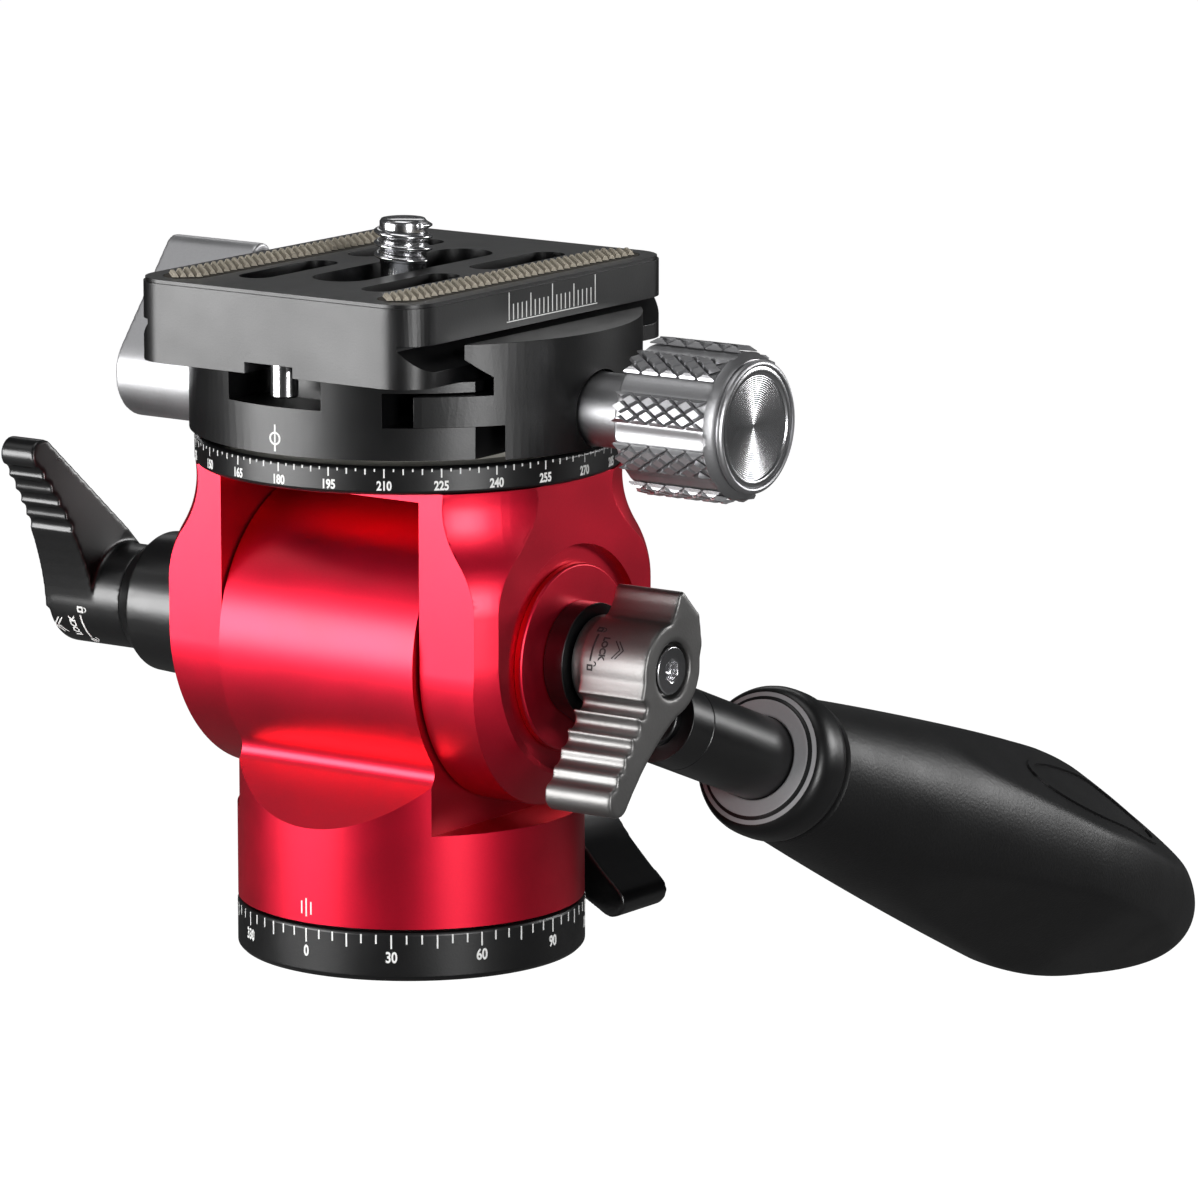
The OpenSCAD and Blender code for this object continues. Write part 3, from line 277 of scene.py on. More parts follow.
# The grip's collar, moulded in a harder plastic: a little paler and glossier than the grip
collar_plastic = finish("moulded_collar_plastic", "#0C0C0D",
                        metallic=0.0, roughness=0.36, grit_mm=0.4, grit=0.08)
# The collar's flat front: a paler, duller ring, painted light where the lamps don't reach
collar_painted_light = finish("collar_plastic_painted_light", "#A2A2A4",
                     metallic=0.0, roughness=0.5, grit_mm=0.4, grit=0.1)
# Screen-printed ink: flat white or near black, thin and dull
white_ink = finish("white_screen_ink", "#F2F2F0",
                   metallic=0.0, roughness=0.6, grit_mm=0.2, grit=0.1, tint=0.03)
black_ink = finish("black_screen_ink", "#17171A",
                   metallic=0.0, roughness=0.55, grit_mm=0.2, grit=0.1)

FINISHES = {
    red_anodised: ("pan_column", "yoke", "yoke_cap"),
    black_anodised: ("base_dial", "top_dial", "clamp_body", "jaw", "plate"),
    black_polished: ("tilt_collar", "handle_arm", "handle_rod"),
    bright_steel: ("stop_screws", "handle_lever_screw"),
    plated_steel: ("pan_spindle", "base_screws", "pan_retainer", "pan_retainer_screw", "tilt_shaft",
                   "handle_stud", "clamp_pivot", "pivot_screws", "clamp_retainer", "clamp_retainer_screw",
                   "knob_screw", "screw_clip", "clamp_lever_screw", "tilt_lever_screw", "pan_lever_screw"),
    sintered_bronze: ("pan_bush_lower", "pan_bush_upper", "pan_brake_shoe", "pan_lock_bush", "tilt_bush_left",
                      "tilt_bush_right", "tilt_brake_pad", "clamp_bush", "clamp_brake_pad"),
    drag_polymer: ("pan_drag_disc", "tilt_drag_disc_left", "tilt_drag_disc_right", "clamp_drag_disc"),
    collar_plastic: ("grip_collar",),
}
# Edge break in mm of each piece that shows; the pieces inside keep their solids
EDGES = {
    "base_dial": 0.15, "pan_column": 0.25, "yoke": 0.3, "yoke_cap": 0.25, "tilt_collar": 0.2,
    "top_dial": 0.12, "clamp_body": 0.2, "jaw": 0.2, "plate": 0.25, "stop_screws": 0.2,
    "handle_lever_screw": 0.12, "handle_arm": 0.3, "handle_rod": 0.2, "grip_collar": 0.25,
    "clamp_lever_screw": 0.1, "tilt_lever_screw": 0.1, "pan_lever_screw": 0.1,
}


def dressed(node, edge, material):
    """A node's shape with its loose triangles merged, its edges broken and a finish of its own."""
    mesh, work = merged(node)
    bmesh.ops.dissolve_limit(work, angle_limit=math.radians(0.5), verts=work.verts, edges=work.edges)
    made = placed("dressed_" + node, smoothed(work, mesh, material, SHARP))
    broken = made.modifiers.new("edge_break", "BEVEL")
    broken.width = edge * mm
    broken.segments = 2
    broken.limit_method = "ANGLE"
    broken.angle_limit = math.radians(SHARP)
    even = made.modifiers.new("even_normals", "WEIGHTED_NORMAL")
    even.keep_sharp = True
    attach(made, body_of(node))
    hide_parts(node)
    return made


def softened(node, passes, material):
    """A cast lever with every edge rounded: its solid meshed finely and evenly, then relaxed."""
    mesh, work = merged(node)
    work.to_mesh(mesh)
    work.free()
    holder = placed(node, mesh)
    even = holder.modifiers.new("even_mesh", "REMESH")
    even.mode = "VOXEL"
    even.voxel_size = 0.2 * mm
    relax = holder.modifiers.new("relax", "SMOOTH")
    relax.factor = 0.5
    relax.iterations = passes
    cast = applied(holder)
    for face in cast.polygons:
        face.use_smooth = True
    cast.materials.clear()
    cast.materials.append(material)
    piece("cast_" + node, cast, body_of(node), node)


softened("handle_lever", passes=10, material=grey_anodised)
softened("clamp_lever", passes=10, material=pale_anodised)
softened("tilt_lever", passes=8, material=black_polished)
softened("pan_lever", passes=8, material=black_polished)

pieces = {}
for material, nodes in FINISHES.items():
    for node in nodes:
        if node in EDGES:
            pieces[node] = dressed(node, EDGES[node], material)
        else:
            solid = frame["nodes"][node].data
            solid.materials.clear()
            solid.materials.append(material)


# Details that repeat, grown by trees

WHOLE = "NodeSocketInt"
SIZE = "NodeSocketFloat"


def sized_tree(name, sizes):
    """A new tree with a named input for each size, and those inputs."""
    tree = bpy.data.node_groups.new(name, "GeometryNodeTree")
    tree.interface.new_socket("Geometry", in_out="OUTPUT", socket_type="NodeSocketGeometry")
    for size, kind in sizes.items():
        tree.interface.new_socket(size, in_out="INPUT", socket_type=kind)
    return tree, tree.nodes.new("NodeGroupInput").outputs


def grown(name, tree, sizes):
    """Runs a tree with its sizes, lengths in mm, and gives the result as a plain mesh."""
    holder = placed(name, bpy.data.meshes.new(name))
    run = holder.modifiers.new(name, "NODES")
    run.node_group = tree
    for item in tree.interface.items_tree:
        if item.in_out == "INPUT":
            value = sizes[item.name]
            run[item.identifier] = value if item.socket_type == WHOLE else value * mm
    mesh = applied(holder)
    mesh.name = name
    return mesh


def tick_tree(ink):
    """Upright ticks round a dial: short ones, with middle and long ones at their own steps."""
    tree, size = sized_tree("dial_ticks", {
        "Count": WHOLE, "Middle Every": WHOLE, "Long Every": WHOLE, "Radius": SIZE, "Top": SIZE,
        "Width": SIZE, "Stand": SIZE, "Short": SIZE, "Middle": SIZE, "Long": SIZE})
    index = add(tree, "GeometryNodeInputIndex").outputs[0]
    turn = add(tree, "ShaderNodeMath", {0: index, 1: size["Count"]}, operation="DIVIDE").outputs[0]
    angle = add(tree, "ShaderNodeMath", {0: turn, 1: math.tau, 2: -math.pi / 2},
                operation="MULTIPLY_ADD").outputs[0]
    length = size["Short"]
    for step, tall in (("Middle Every", "Middle"), ("Long Every", "Long")):
        rest = add(tree, "ShaderNodeMath", {0: index, 1: size[step]}, operation="MODULO").outputs[0]
        plain = add(tree, "ShaderNodeMath", {0: rest, 1: 0.5}, operation="GREATER_THAN").outputs[0]
        length = add(tree, "ShaderNodeMix", {0: plain, 2: size[tall], 3: length}).outputs[0]
    height = add(tree, "ShaderNodeMath", {0: length, 1: -0.5, 2: size["Top"]},
                 operation="MULTIPLY_ADD").outputs[0]
    spot = add(tree, "ShaderNodeCombineXYZ", {0: size["Radius"], 2: height}).outputs[0]
    around = add(tree, "ShaderNodeVectorRotate", {"Vector": spot, "Angle": angle},
                 rotation_type="Z_AXIS").outputs[0]
    row = add(tree, "GeometryNodeMeshLine", {"Count": size["Count"]}).outputs[0]
    points = add(tree, "GeometryNodeSetPosition", {"Geometry": row, "Position": around}).outputs[0]
    bar = add(tree, "GeometryNodeMeshCube", {"Size": (1, 1, 1)}).outputs[0]
    shape = add(tree, "ShaderNodeCombineXYZ", {0: size["Stand"], 1: size["Width"], 2: length}).outputs[0]
    facing = add(tree, "ShaderNodeCombineXYZ", {2: angle}).outputs[0]
    ticks = add(tree, "GeometryNodeInstanceOnPoints", {"Points": points, "Instance": bar, "Rotation": facing,
                                                       "Scale": shape}).outputs[0]
    real = add(tree, "GeometryNodeRealizeInstances", {0: ticks}).outputs[0]
    inked = add(tree, "GeometryNodeSetMaterial", {"Geometry": real, "Material": ink}).outputs[0]
    add(tree, "NodeGroupOutput", {0: inked})
    return tree


def knurl_tree(metal):
    """Flat-topped rhombic pads in offset rows on each land of a knob, cut off where its flutes run."""
    tree, size = sized_tree("knob_knurl", {
        "Lands": WHOLE, "Rows": WHOLE, "Columns": WHOLE, "Row Pitch": SIZE, "Column Pitch": SIZE,
        "Start": SIZE, "Radius": SIZE, "Height": SIZE, "Groove": SIZE, "Flute Radius": SIZE,
        "Flute Reach": SIZE, "Axis Height": SIZE, "Turn": SIZE})
    index = add(tree, "GeometryNodeInputIndex").outputs[0]
    land = add(tree, "ShaderNodeMath", {0: index, 1: size["Lands"]}, operation="FLOORED_MODULO").outputs[0]
    over = add(tree, "ShaderNodeMath", {0: index, 1: size["Lands"]}, operation="DIVIDE").outputs[0]
    over = add(tree, "ShaderNodeMath", {0: over}, operation="FLOOR").outputs[0]
    row = add(tree, "ShaderNodeMath", {0: over, 1: size["Rows"]}, operation="FLOORED_MODULO").outputs[0]
    column = add(tree, "ShaderNodeMath", {0: over, 1: size["Rows"]}, operation="DIVIDE").outputs[0]
    column = add(tree, "ShaderNodeMath", {0: column}, operation="FLOOR").outputs[0]
    both = add(tree, "ShaderNodeMath", {0: row, 1: column}, operation="ADD").outputs[0]
    odd = add(tree, "ShaderNodeMath", {0: both, 1: 2.0}, operation="FLOORED_MODULO").outputs[0]
    kept = add(tree, "FunctionNodeCompare", {0: odd, 1: 0.5}, operation="LESS_THAN").outputs[0]
    middle = add(tree, "ShaderNodeMath", {0: size["Rows"], 1: 0.5, 2: -0.5},
                 operation="MULTIPLY_ADD").outputs[0]
    off = add(tree, "ShaderNodeMath", {0: row, 1: middle}, operation="SUBTRACT").outputs[0]
    step = add(tree, "ShaderNodeMath", {0: size["Row Pitch"], 1: size["Radius"]},
               operation="DIVIDE").outputs[0]
    share = add(tree, "ShaderNodeMath", {0: math.tau, 1: size["Lands"]}, operation="DIVIDE").outputs[0]
    mid_land = add(tree, "ShaderNodeMath", {0: land, 1: 0.5}, operation="ADD").outputs[0]
    turn = add(tree, "ShaderNodeMath", {0: mid_land, 1: share}, operation="MULTIPLY").outputs[0]
    angle = add(tree, "ShaderNodeMath", {0: off, 1: step, 2: turn}, operation="MULTIPLY_ADD").outputs[0]
    along = add(tree, "ShaderNodeMath", {0: column, 1: size["Column Pitch"], 2: size["Start"]},
                operation="MULTIPLY_ADD").outputs[0]
    spot = add(tree, "ShaderNodeCombineXYZ", {0: along, 2: size["Radius"]}).outputs[0]
    around = add(tree, "ShaderNodeVectorRotate", {"Vector": spot, "Angle": angle},
                 rotation_type="X_AXIS").outputs[0]
    count = add(tree, "ShaderNodeMath", {0: size["Rows"], 1: size["Columns"]},
                operation="MULTIPLY").outputs[0]
    count = add(tree, "ShaderNodeMath", {0: count, 1: size["Lands"]}, operation="MULTIPLY").outputs[0]
    strand = add(tree, "GeometryNodeMeshLine", {"Count": count}).outputs[0]
    points = add(tree, "GeometryNodeSetPosition", {"Geometry": strand, "Position": around}).outputs[0]
    pad = add(tree, "GeometryNodeMeshCone", {"Vertices": 4, "Radius Top": 0.72, "Radius Bottom": 1.0,
                                             "Depth": 1.0}).outputs[0]
    long_half = add(tree, "ShaderNodeMath", {0: size["Column Pitch"], 1: size["Groove"]},
                    operation="SUBTRACT").outputs[0]
    wide_half = add(tree, "ShaderNodeMath", {0: size["Row Pitch"], 1: size["Groove"]},
                    operation="SUBTRACT").outputs[0]
    shape = add(tree, "ShaderNodeCombineXYZ", {0: long_half, 1: wide_half, 2: size["Height"]}).outputs[0]
    facing = add(tree, "ShaderNodeCombineXYZ", {0: angle}).outputs[0]
    pads = add(tree, "GeometryNodeInstanceOnPoints", {
        "Points": points, "Selection": kept, "Instance": pad, "Rotation": facing, "Scale": shape}).outputs[0]
    pads = add(tree, "GeometryNodeRealizeInstances", {0: pads}).outputs[0]
    ring = add(tree, "GeometryNodeMeshLine", {"Count": size["Lands"]}).outputs[0]
    flute_turn = add(tree, "ShaderNodeMath", {0: index, 1: share}, operation="MULTIPLY").outputs[0]
    flute_spot = add(tree, "ShaderNodeCombineXYZ", {0: size["Start"], 2: size["Flute Reach"]}).outputs[0]
    flute_at = add(tree, "ShaderNodeVectorRotate", {"Vector": flute_spot, "Angle": flute_turn},
                   rotation_type="X_AXIS").outputs[0]
    axes = add(tree, "GeometryNodeSetPosition", {"Geometry": ring, "Position": flute_at}).outputs[0]
    cutter = add(tree, "GeometryNodeMeshCylinder", {"Vertices": 32, "Radius": size["Flute Radius"],
                                                    "Depth": 60 * mm}).outputs[0]
    laid = add(tree, "GeometryNodeTransform", {"Geometry": cutter,
                                               "Rotation": (0, math.pi / 2, 0)}).outputs[0]
    cutters = add(tree, "GeometryNodeInstanceOnPoints", {"Points": axes, "Instance": laid}).outputs[0]
    cutters = add(tree, "GeometryNodeRealizeInstances", {0: cutters}).outputs[0]
    cut = add(tree, "GeometryNodeMeshBoolean", {"Mesh 1": pads, "Mesh 2": cutters},
              operation="DIFFERENCE").outputs[0]
    lift = add(tree, "ShaderNodeCombineXYZ", {2: size["Axis Height"]}).outputs[0]
    spin = add(tree, "ShaderNodeCombineXYZ", {0: size["Turn"]}).outputs[0]
    raised = add(tree, "GeometryNodeTransform", {"Geometry": cut, "Translation": lift,
                                                 "Rotation": spin}).outputs[0]
    real = add(tree, "GeometryNodeRealizeInstances", {0: raised}).outputs[0]
    done = add(tree, "GeometryNodeSetMaterial", {"Geometry": real, "Material": metal}).outputs[0]
    add(tree, "NodeGroupOutput", {0: done})
    return tree


def thread_tree(metal):
    """A screw thread's ridge: a wedge swept along a helix."""
    tree, size = sized_tree("screw_thread", {
        "Height": SIZE, "Radius": SIZE, "Pitch": SIZE, "Depth": SIZE, "Root": SIZE, "Crest": SIZE,
        "Across": SIZE, "Bottom": SIZE})
    turns = add(tree, "ShaderNodeMath", {0: size["Height"], 1: size["Pitch"]}, operation="DIVIDE").outputs[0]
    helix = add(tree, "GeometryNodeCurveSpiral", {
        "Resolution": 40, "Rotations": turns, "Start Radius": size["Radius"],
        "End Radius": size["Radius"], "Height": size["Height"]}).outputs[0]
    upright = add(tree, "GeometryNodeSetCurveNormal", {"Curve": helix}, mode="Z_UP").outputs[0]
    wedge = add(tree, "GeometryNodeCurvePrimitiveQuadrilateral", {
        "Height": size["Depth"], "Bottom Width": size["Root"], "Top Width": size["Crest"], "Offset": 0.0},
        mode="TRAPEZOID").outputs[0]
    turned = add(tree, "GeometryNodeTransform", {"Geometry": wedge,
                                                 "Rotation": (0, 0, math.pi / 2)}).outputs[0]
    ridge = add(tree, "GeometryNodeCurveToMesh", {"Curve": upright, "Profile Curve": turned,
                                                  "Fill Caps": True}).outputs[0]
    place = add(tree, "ShaderNodeCombineXYZ", {0: size["Across"], 2: size["Bottom"]}).outputs[0]
    moved = add(tree, "GeometryNodeTransform", {"Geometry": ridge, "Translation": place}).outputs[0]
    real = add(tree, "GeometryNodeRealizeInstances", {0: moved}).outputs[0]
    done = add(tree, "GeometryNodeSetMaterial", {"Geometry": real, "Material": metal}).outputs[0]
    add(tree, "NodeGroupOutput", {0: done})
    return tree


def stud_tree(rubber):
    """Low four-sided studs in a diamond pattern, inside a round-ended strip that lies along Y."""
    tree, size = sized_tree("strip_studs", {
        "Columns": WHOLE, "Rows": WHOLE, "Pitch": SIZE, "Length": SIZE, "Width": SIZE, "Height": SIZE,
        "Base": SIZE, "Across": SIZE})
    spans = []
    for count in ("Columns", "Rows"):
        gaps = add(tree, "ShaderNodeMath", {0: size[count], 1: 1.0}, operation="SUBTRACT").outputs[0]
        span = add(tree, "ShaderNodeMath", {0: gaps, 1: size["Pitch"]}, operation="MULTIPLY").outputs[0]
        spans.append(span)
    grid = add(tree, "GeometryNodeMeshGrid", {
        "Size X": spans[0], "Size Y": spans[1], "Vertices X": size["Columns"],
        "Vertices Y": size["Rows"]}).outputs[0]
    index = add(tree, "GeometryNodeInputIndex").outputs[0]
    column = add(tree, "ShaderNodeMath", {0: index, 1: size["Rows"]}, operation="DIVIDE").outputs[0]
    column = add(tree, "ShaderNodeMath", {0: column}, operation="FLOOR").outputs[0]
    row = add(tree, "ShaderNodeMath", {0: index, 1: size["Rows"]}, operation="FLOORED_MODULO").outputs[0]
    both = add(tree, "ShaderNodeMath", {0: column, 1: row}, operation="ADD").outputs[0]
    odd = add(tree, "ShaderNodeMath", {0: both, 1: 2.0}, operation="FLOORED_MODULO").outputs[0]
    even = add(tree, "ShaderNodeMath", {0: odd, 1: 0.5}, operation="LESS_THAN").outputs[0]
    where = add(tree, "ShaderNodeSeparateXYZ", {0: add(tree, "GeometryNodeInputPosition").outputs[0]}).outputs
    far = add(tree, "ShaderNodeMath", {0: where[1]}, operation="ABSOLUTE").outputs[0]
    straight = add(tree, "ShaderNodeMath", {0: size["Length"], 1: size["Width"]},
                   operation="SUBTRACT").outputs[0]
    past = add(tree, "ShaderNodeMath", {0: straight, 1: -0.5, 2: far}, operation="MULTIPLY_ADD").outputs[0]
    past = add(tree, "ShaderNodeMath", {0: past, 1: 0.0}, operation="MAXIMUM").outputs[0]
    flat = add(tree, "ShaderNodeCombineXYZ", {0: where[0], 1: past}).outputs[0]
    away = add(tree, "ShaderNodeVectorMath", {0: flat}, operation="LENGTH").outputs["Value"]
    edge = add(tree, "ShaderNodeMath", {0: size["Width"], 1: size["Pitch"]}, operation="SUBTRACT").outputs[0]
    edge = add(tree, "ShaderNodeMath", {0: edge, 1: 0.5}, operation="MULTIPLY").outputs[0]
    inside = add(tree, "ShaderNodeMath", {0: away, 1: edge}, operation="LESS_THAN").outputs[0]
    wanted = add(tree, "ShaderNodeMath", {0: even, 1: inside}, operation="MULTIPLY").outputs[0]
    kept = add(tree, "FunctionNodeCompare", {0: wanted, 1: 0.5}, operation="GREATER_THAN").outputs[0]
    stud = add(tree, "GeometryNodeMeshCone", {"Vertices": 4, "Radius Top": 0.36, "Radius Bottom": 0.84,
                                              "Depth": 1.0}).outputs[0]
    shape = add(tree, "ShaderNodeCombineXYZ", {0: size["Pitch"], 1: size["Pitch"],
                                               2: size["Height"]}).outputs[0]
    studs = add(tree, "GeometryNodeInstanceOnPoints", {"Points": grid, "Selection": kept, "Instance": stud,
                                                       "Scale": shape}).outputs[0]
    place = add(tree, "ShaderNodeCombineXYZ", {0: size["Across"], 2: size["Base"]}).outputs[0]
    real = add(tree, "GeometryNodeRealizeInstances", {0: studs}).outputs[0]
    moved = add(tree, "GeometryNodeTransform", {"Geometry": real, "Translation": place}).outputs[0]
    done = add(tree, "GeometryNodeSetMaterial", {"Geometry": moved, "Material": rubber}).outputs[0]
    add(tree, "NodeGroupOutput", {0: done})
    return tree


# Dial ticks: every 5 degrees at the foot, every 2.5 on the top dial
dial_ticks = tick_tree(white_ink)
piece("base_dial_ticks", grown("base_dial_ticks", dial_ticks, {
    "Count": 72, "Middle Every": 3, "Long Every": 3, "Radius": FOOT_R, "Top": 5.2, "Width": 0.17,
    "Stand": 0.06, "Short": 1.0, "Middle": 1.5, "Long": 1.5}), "base")
piece("top_dial_ticks", grown("top_dial_ticks", dial_ticks, {
    "Count": 144, "Middle Every": 2, "Long Every": 6, "Radius": TOP_R, "Top": 56.75, "Width": 0.15,
    "Stand": 0.06, "Short": 0.3, "Middle": 0.62, "Long": 0.95}), body_of("top_dial"))


# Clamp knob: turned body with ball-ended flutes, knurled lands and a spun end

KNOB_AXIS = 61.75
KNOB_FLUTES = 9
KNOB_TURN = math.radians(15)
FLUTE_R = 2.2
FLUTE_REACH = 9.785
FLUTE_ENDS = (20.0, 43.2)


def turned_ring(x, radius, angles):
    """Corners of one ring round the knob's axis; radius is a number, or a function of the angle."""
    ring = []
    for a in angles:
        r = radius(a) if callable(radius) else radius
        t = a + KNOB_TURN
        ring.append((x * mm, -r * math.sin(t) * mm, (KNOB_AXIS + r * math.cos(t)) * mm))
    return ring


def lathe(name, rings, material, crease=18):
    """A closed mesh through rings of equal count, smooth but for turns sharper than crease, in degrees."""
    count = len(rings[0])
    corners = [c for ring in rings for c in ring]
    faces = []
    for i in range(len(rings) - 1):
        for j in range(count):
            k = (j + 1) % count
            faces.append((i * count + j, i * count + k, (i + 1) * count + k, (i + 1) * count + j))
    faces.append(tuple(range(count - 1, -1, -1)))
    faces.append(tuple((len(rings) - 1) * count + j for j in range(count)))
    mesh = bpy.data.meshes.new(name)
    mesh.from_pydata(corners, [], faces)
    work = bmesh.new()
    work.from_mesh(mesh)
    bmesh.ops.recalc_face_normals(work, faces=work.faces)
    return smoothed(work, mesh, material, crease)


def fluted(x, land):
    """The knob's radius round its axis at x: the land, or the flute's floor where that is deeper."""
    low, high = FLUTE_ENDS
    past = max(low - x, x - high, 0.0)
    reach = math.sqrt(max(FLUTE_R ** 2 - past ** 2, 0.0))

    def radius(a):
        sector = math.tau / KNOB_FLUTES
        off = (a + sector / 2) % sector - sector / 2
        side = FLUTE_REACH * math.sin(off)
        if reach <= abs(side):
            return land
        return min(land, FLUTE_REACH * math.cos(off) - math.sqrt(reach ** 2 - side ** 2))

    return radius


def knob_body():
    """The knob without its knurl, from its neck to the rim round the spun end."""
    steps = [math.radians(d) for d in (-20, -16.5, -13, -10.5, -9.4, -8.2, -7, -5.6, -3.2, 0, 3.2, 5.6, 7,
                                       8.2, 9.4, 10.5, 13, 16.5)]
    angles = [i * math.tau / KNOB_FLUTES + s for i in range(KNOB_FLUTES) for s in steps]
    rings = [turned_ring(x, r, angles) for x, r in ((24.75, 3.9), (24.85, 4.0), (31.8, 4.0), (32.0, 4.15),
                                                    (32.2, 4.9), (32.2, 6.9), (32.26, 7.15))]
    for x, land in ((32.42, 7.45), (32.65, 7.68), (32.8, 7.74)):
        rings.append(turned_ring(x, fluted(x, land), angles))
    x = 33.0
    while x < 43.9:
        rings.append(turned_ring(x, fluted(x, 7.8), angles))
        x += 0.25
    for x, land in ((43.95, 7.86), (44.15, 7.72), (44.4, 7.5), (44.6, 7.32)):
        rings.append(turned_ring(x, fluted(x, land), angles))
    rings += [turned_ring(x, r, angles) for x, r in (
        (44.75, 7.18), (44.86, 7.12), (44.92, 6.9), (45.08, 6.88), (45.14, 7.08), (45.3, 7.14), (45.52, 7.06),
        (45.66, 6.88), (45.7, 6.68), (45.66, 6.52), (45.4, 6.48), (44.5, 6.48))]
    return lathe("knob_body", rings, silver_anodised)


def spun_end():
    """The knob's end disc: a flat rim, and inside it a dished face turned in fine rings."""
    angles = [math.tau * i / 120 for i in range(120)]
    profile = [(44.6, 6.47), (45.5, 6.47), (45.55, 6.42), (45.55, 5.76), (45.52, 5.7), (45.38, 5.66)]
    face_r = 5.6
    # The real turning marks are a few hundredths wide; these are coarser, so that they still bend the light
    mark = 0.22
    high = 0.03
    radius = face_r
    while radius > 0.3:
        dish = 45.05 + 0.28 * (radius / face_r) ** 2
        for quarter, height in enumerate((high, 0.0, -high, 0.0)):
            profile.append((dish + height, radius - mark / 4 * quarter))
        radius -= mark
    profile.append((45.03, 0.1))
    rings = [turned_ring(x, r, angles) for x, r in profile]
    return lathe("spun_end", rings, spun_aluminium, crease=75)


# The turn is an angle, and so the mm that the tree's sizes are multiplied by is taken out of it
knurl = grown("knob_knurl", knurl_tree(silver_anodised), {
    "Lands": KNOB_FLUTES, "Rows": 5, "Columns": 9, "Row Pitch": 0.76, "Column Pitch": 1.18, "Start": 33.45,
    "Radius": 7.94, "Height": 0.5, "Groove": 0.05, "Flute Radius": FLUTE_R + 0.03, "Flute Reach": FLUTE_REACH,
    "Axis Height": KNOB_AXIS, "Turn": KNOB_TURN / mm})
piece("clamp_knob_body", knob_body(), "knob", "clamp_knob")
piece("clamp_knob_knurl", knurl, "knob")
piece("clamp_knob_end", spun_end(), "knob", "knob_cap")


# Camera screw: the node's own head and shank, thinned to the thread's root, with the thread wound on

def camera_screw_core(thread_start, root):
    """The camera screw's own shape, but no thicker than the thread's root from the thread's start up."""
    mesh, work = merged("camera_screw")
    axis = Vector((CAMERA_SCREW_X * mm, 0, 0))
    for corner in work.verts:
        if corner.co.z > thread_start * mm:
            across = Vector((corner.co.x - axis.x, corner.co.y, 0))
            if across.length > root * mm:
                across *= root * mm / across.length
                corner.co.x = axis.x + across.x
                corner.co.y = across.y
    return smoothed(work, mesh, bright_steel, SHARP)


screw_thread = thread_tree(bright_steel)
piece("camera_screw_core", camera_screw_core(thread_start=75.15, root=2.56), "camera_screw", "camera_screw")
piece("camera_screw_thread", grown("camera_screw_thread", screw_thread, {
    "Height": 3.85, "Radius": 2.83, "Pitch": 1.27, "Depth": 0.69, "Root": 1.05, "Crest": 0.2,
    "Across": CAMERA_SCREW_X, "Bottom": 75.7}), "camera_screw")


# Rubber strips: round-ended pads with low studs

def strip_pad(across):
    """One strip's flat part, set in the plate, round at both ends."""
    half = 2.6
    straight = 22 - half
    bottom = 74.72
    thick = 0.3
    outline = []
    for i in range(25):
        a = math.pi * i / 24
        outline.append((across + half * math.cos(a), straight + half * math.sin(a)))
    outline += [(2 * across - x, -y) for x, y in outline]
    work = bmesh.new()
    under = work.faces.new([work.verts.new((x * mm, y * mm, bottom * mm)) for x, y in outline])
    raised = bmesh.ops.extrude_face_region(work, geom=[under])
    top = [g for g in raised["geom"] if isinstance(g, bmesh.types.BMVert)]
    bmesh.ops.translate(work, verts=top, vec=(0, 0, thick * mm))
    bmesh.ops.recalc_face_normals(work, faces=work.faces)
    mesh = bpy.data.meshes.new("strip_pad")
    work.to_mesh(mesh)
    work.free()
    return mesh


strip_studs = stud_tree(strip_rubber)
for side, across in (("left", -15.0), ("right", 13.6)):
    pad = strip_pad(across)
    # The flat part between the studs takes the darker rubber, which is painted shade
    pad.materials.append(strip_painted_shade)
    piece("plate_strip_pad_" + side, pad, "plate", "plate_strip_" + side)
    piece("plate_strip_studs_" + side, grown("plate_strip_studs_" + side, strip_studs, {
        "Columns": 9, "Rows": 73, "Pitch": 0.6, "Length": 43.8, "Width": 5.4, "Height": 0.4, "Base": 75.1,
        "Across": across}), "plate")


# Printed marks: flat drawings laid on a node's surface

def stroke(points, width):
    """A ribbon along points, as corners and faces of a flat drawing."""
    corners = []
    for i, (u, v) in enumerate(points):
        u0, v0 = points[max(i - 1, 0)]
        u1, v1 = points[min(i + 1, len(points) - 1)]
        run = math.hypot(u1 - u0, v1 - v0)
        du, dv = (v0 - v1) / run * width / 2, (u1 - u0) / run * width / 2
        corners += [(u - du, v - dv), (u + du, v + dv)]
    return corners, [(2 * i, 2 * i + 2, 2 * i + 3, 2 * i + 1) for i in range(len(points) - 1)]


def line(start, end, width, parts=8):
    """A straight stroke in short parts, so that it can follow a curved surface."""
    (u0, v0), (u1, v1) = start, end
    return stroke([(u0 + (u1 - u0) * i / parts, v0 + (v1 - v0) * i / parts) for i in range(parts + 1)], width)


def loop(centre_u, centre_v, radius, width, start=0, end=360):
    """A round stroke from one angle to another."""
    turns = [math.radians(start + (end - start) * i / 24) for i in range(25)]
    return stroke([(centre_u + radius * math.cos(a), centre_v + radius * math.sin(a)) for a in turns], width)


# Height of a capital in the built-in letters, as a share of their size
CAP_SHARE = 0.69


def lettering(words, height, squeeze, place_u, place_v):
    """Words of a cap height in mm, drawn flat round a point."""
    curve = bpy.data.curves.new("lettering", "FONT")
    curve.body = words
    curve.size = height / CAP_SHARE
    curve.align_x = "CENTER"
    curve.resolution_u = 4
    curve.offset = 0.045
    mesh = applied(placed("lettering", curve))
    corners = [(v.co.x * squeeze + place_u, v.co.y - height / 2 + place_v) for v in mesh.vertices]
    return corners, [tuple(p.vertices) for p in mesh.polygons]


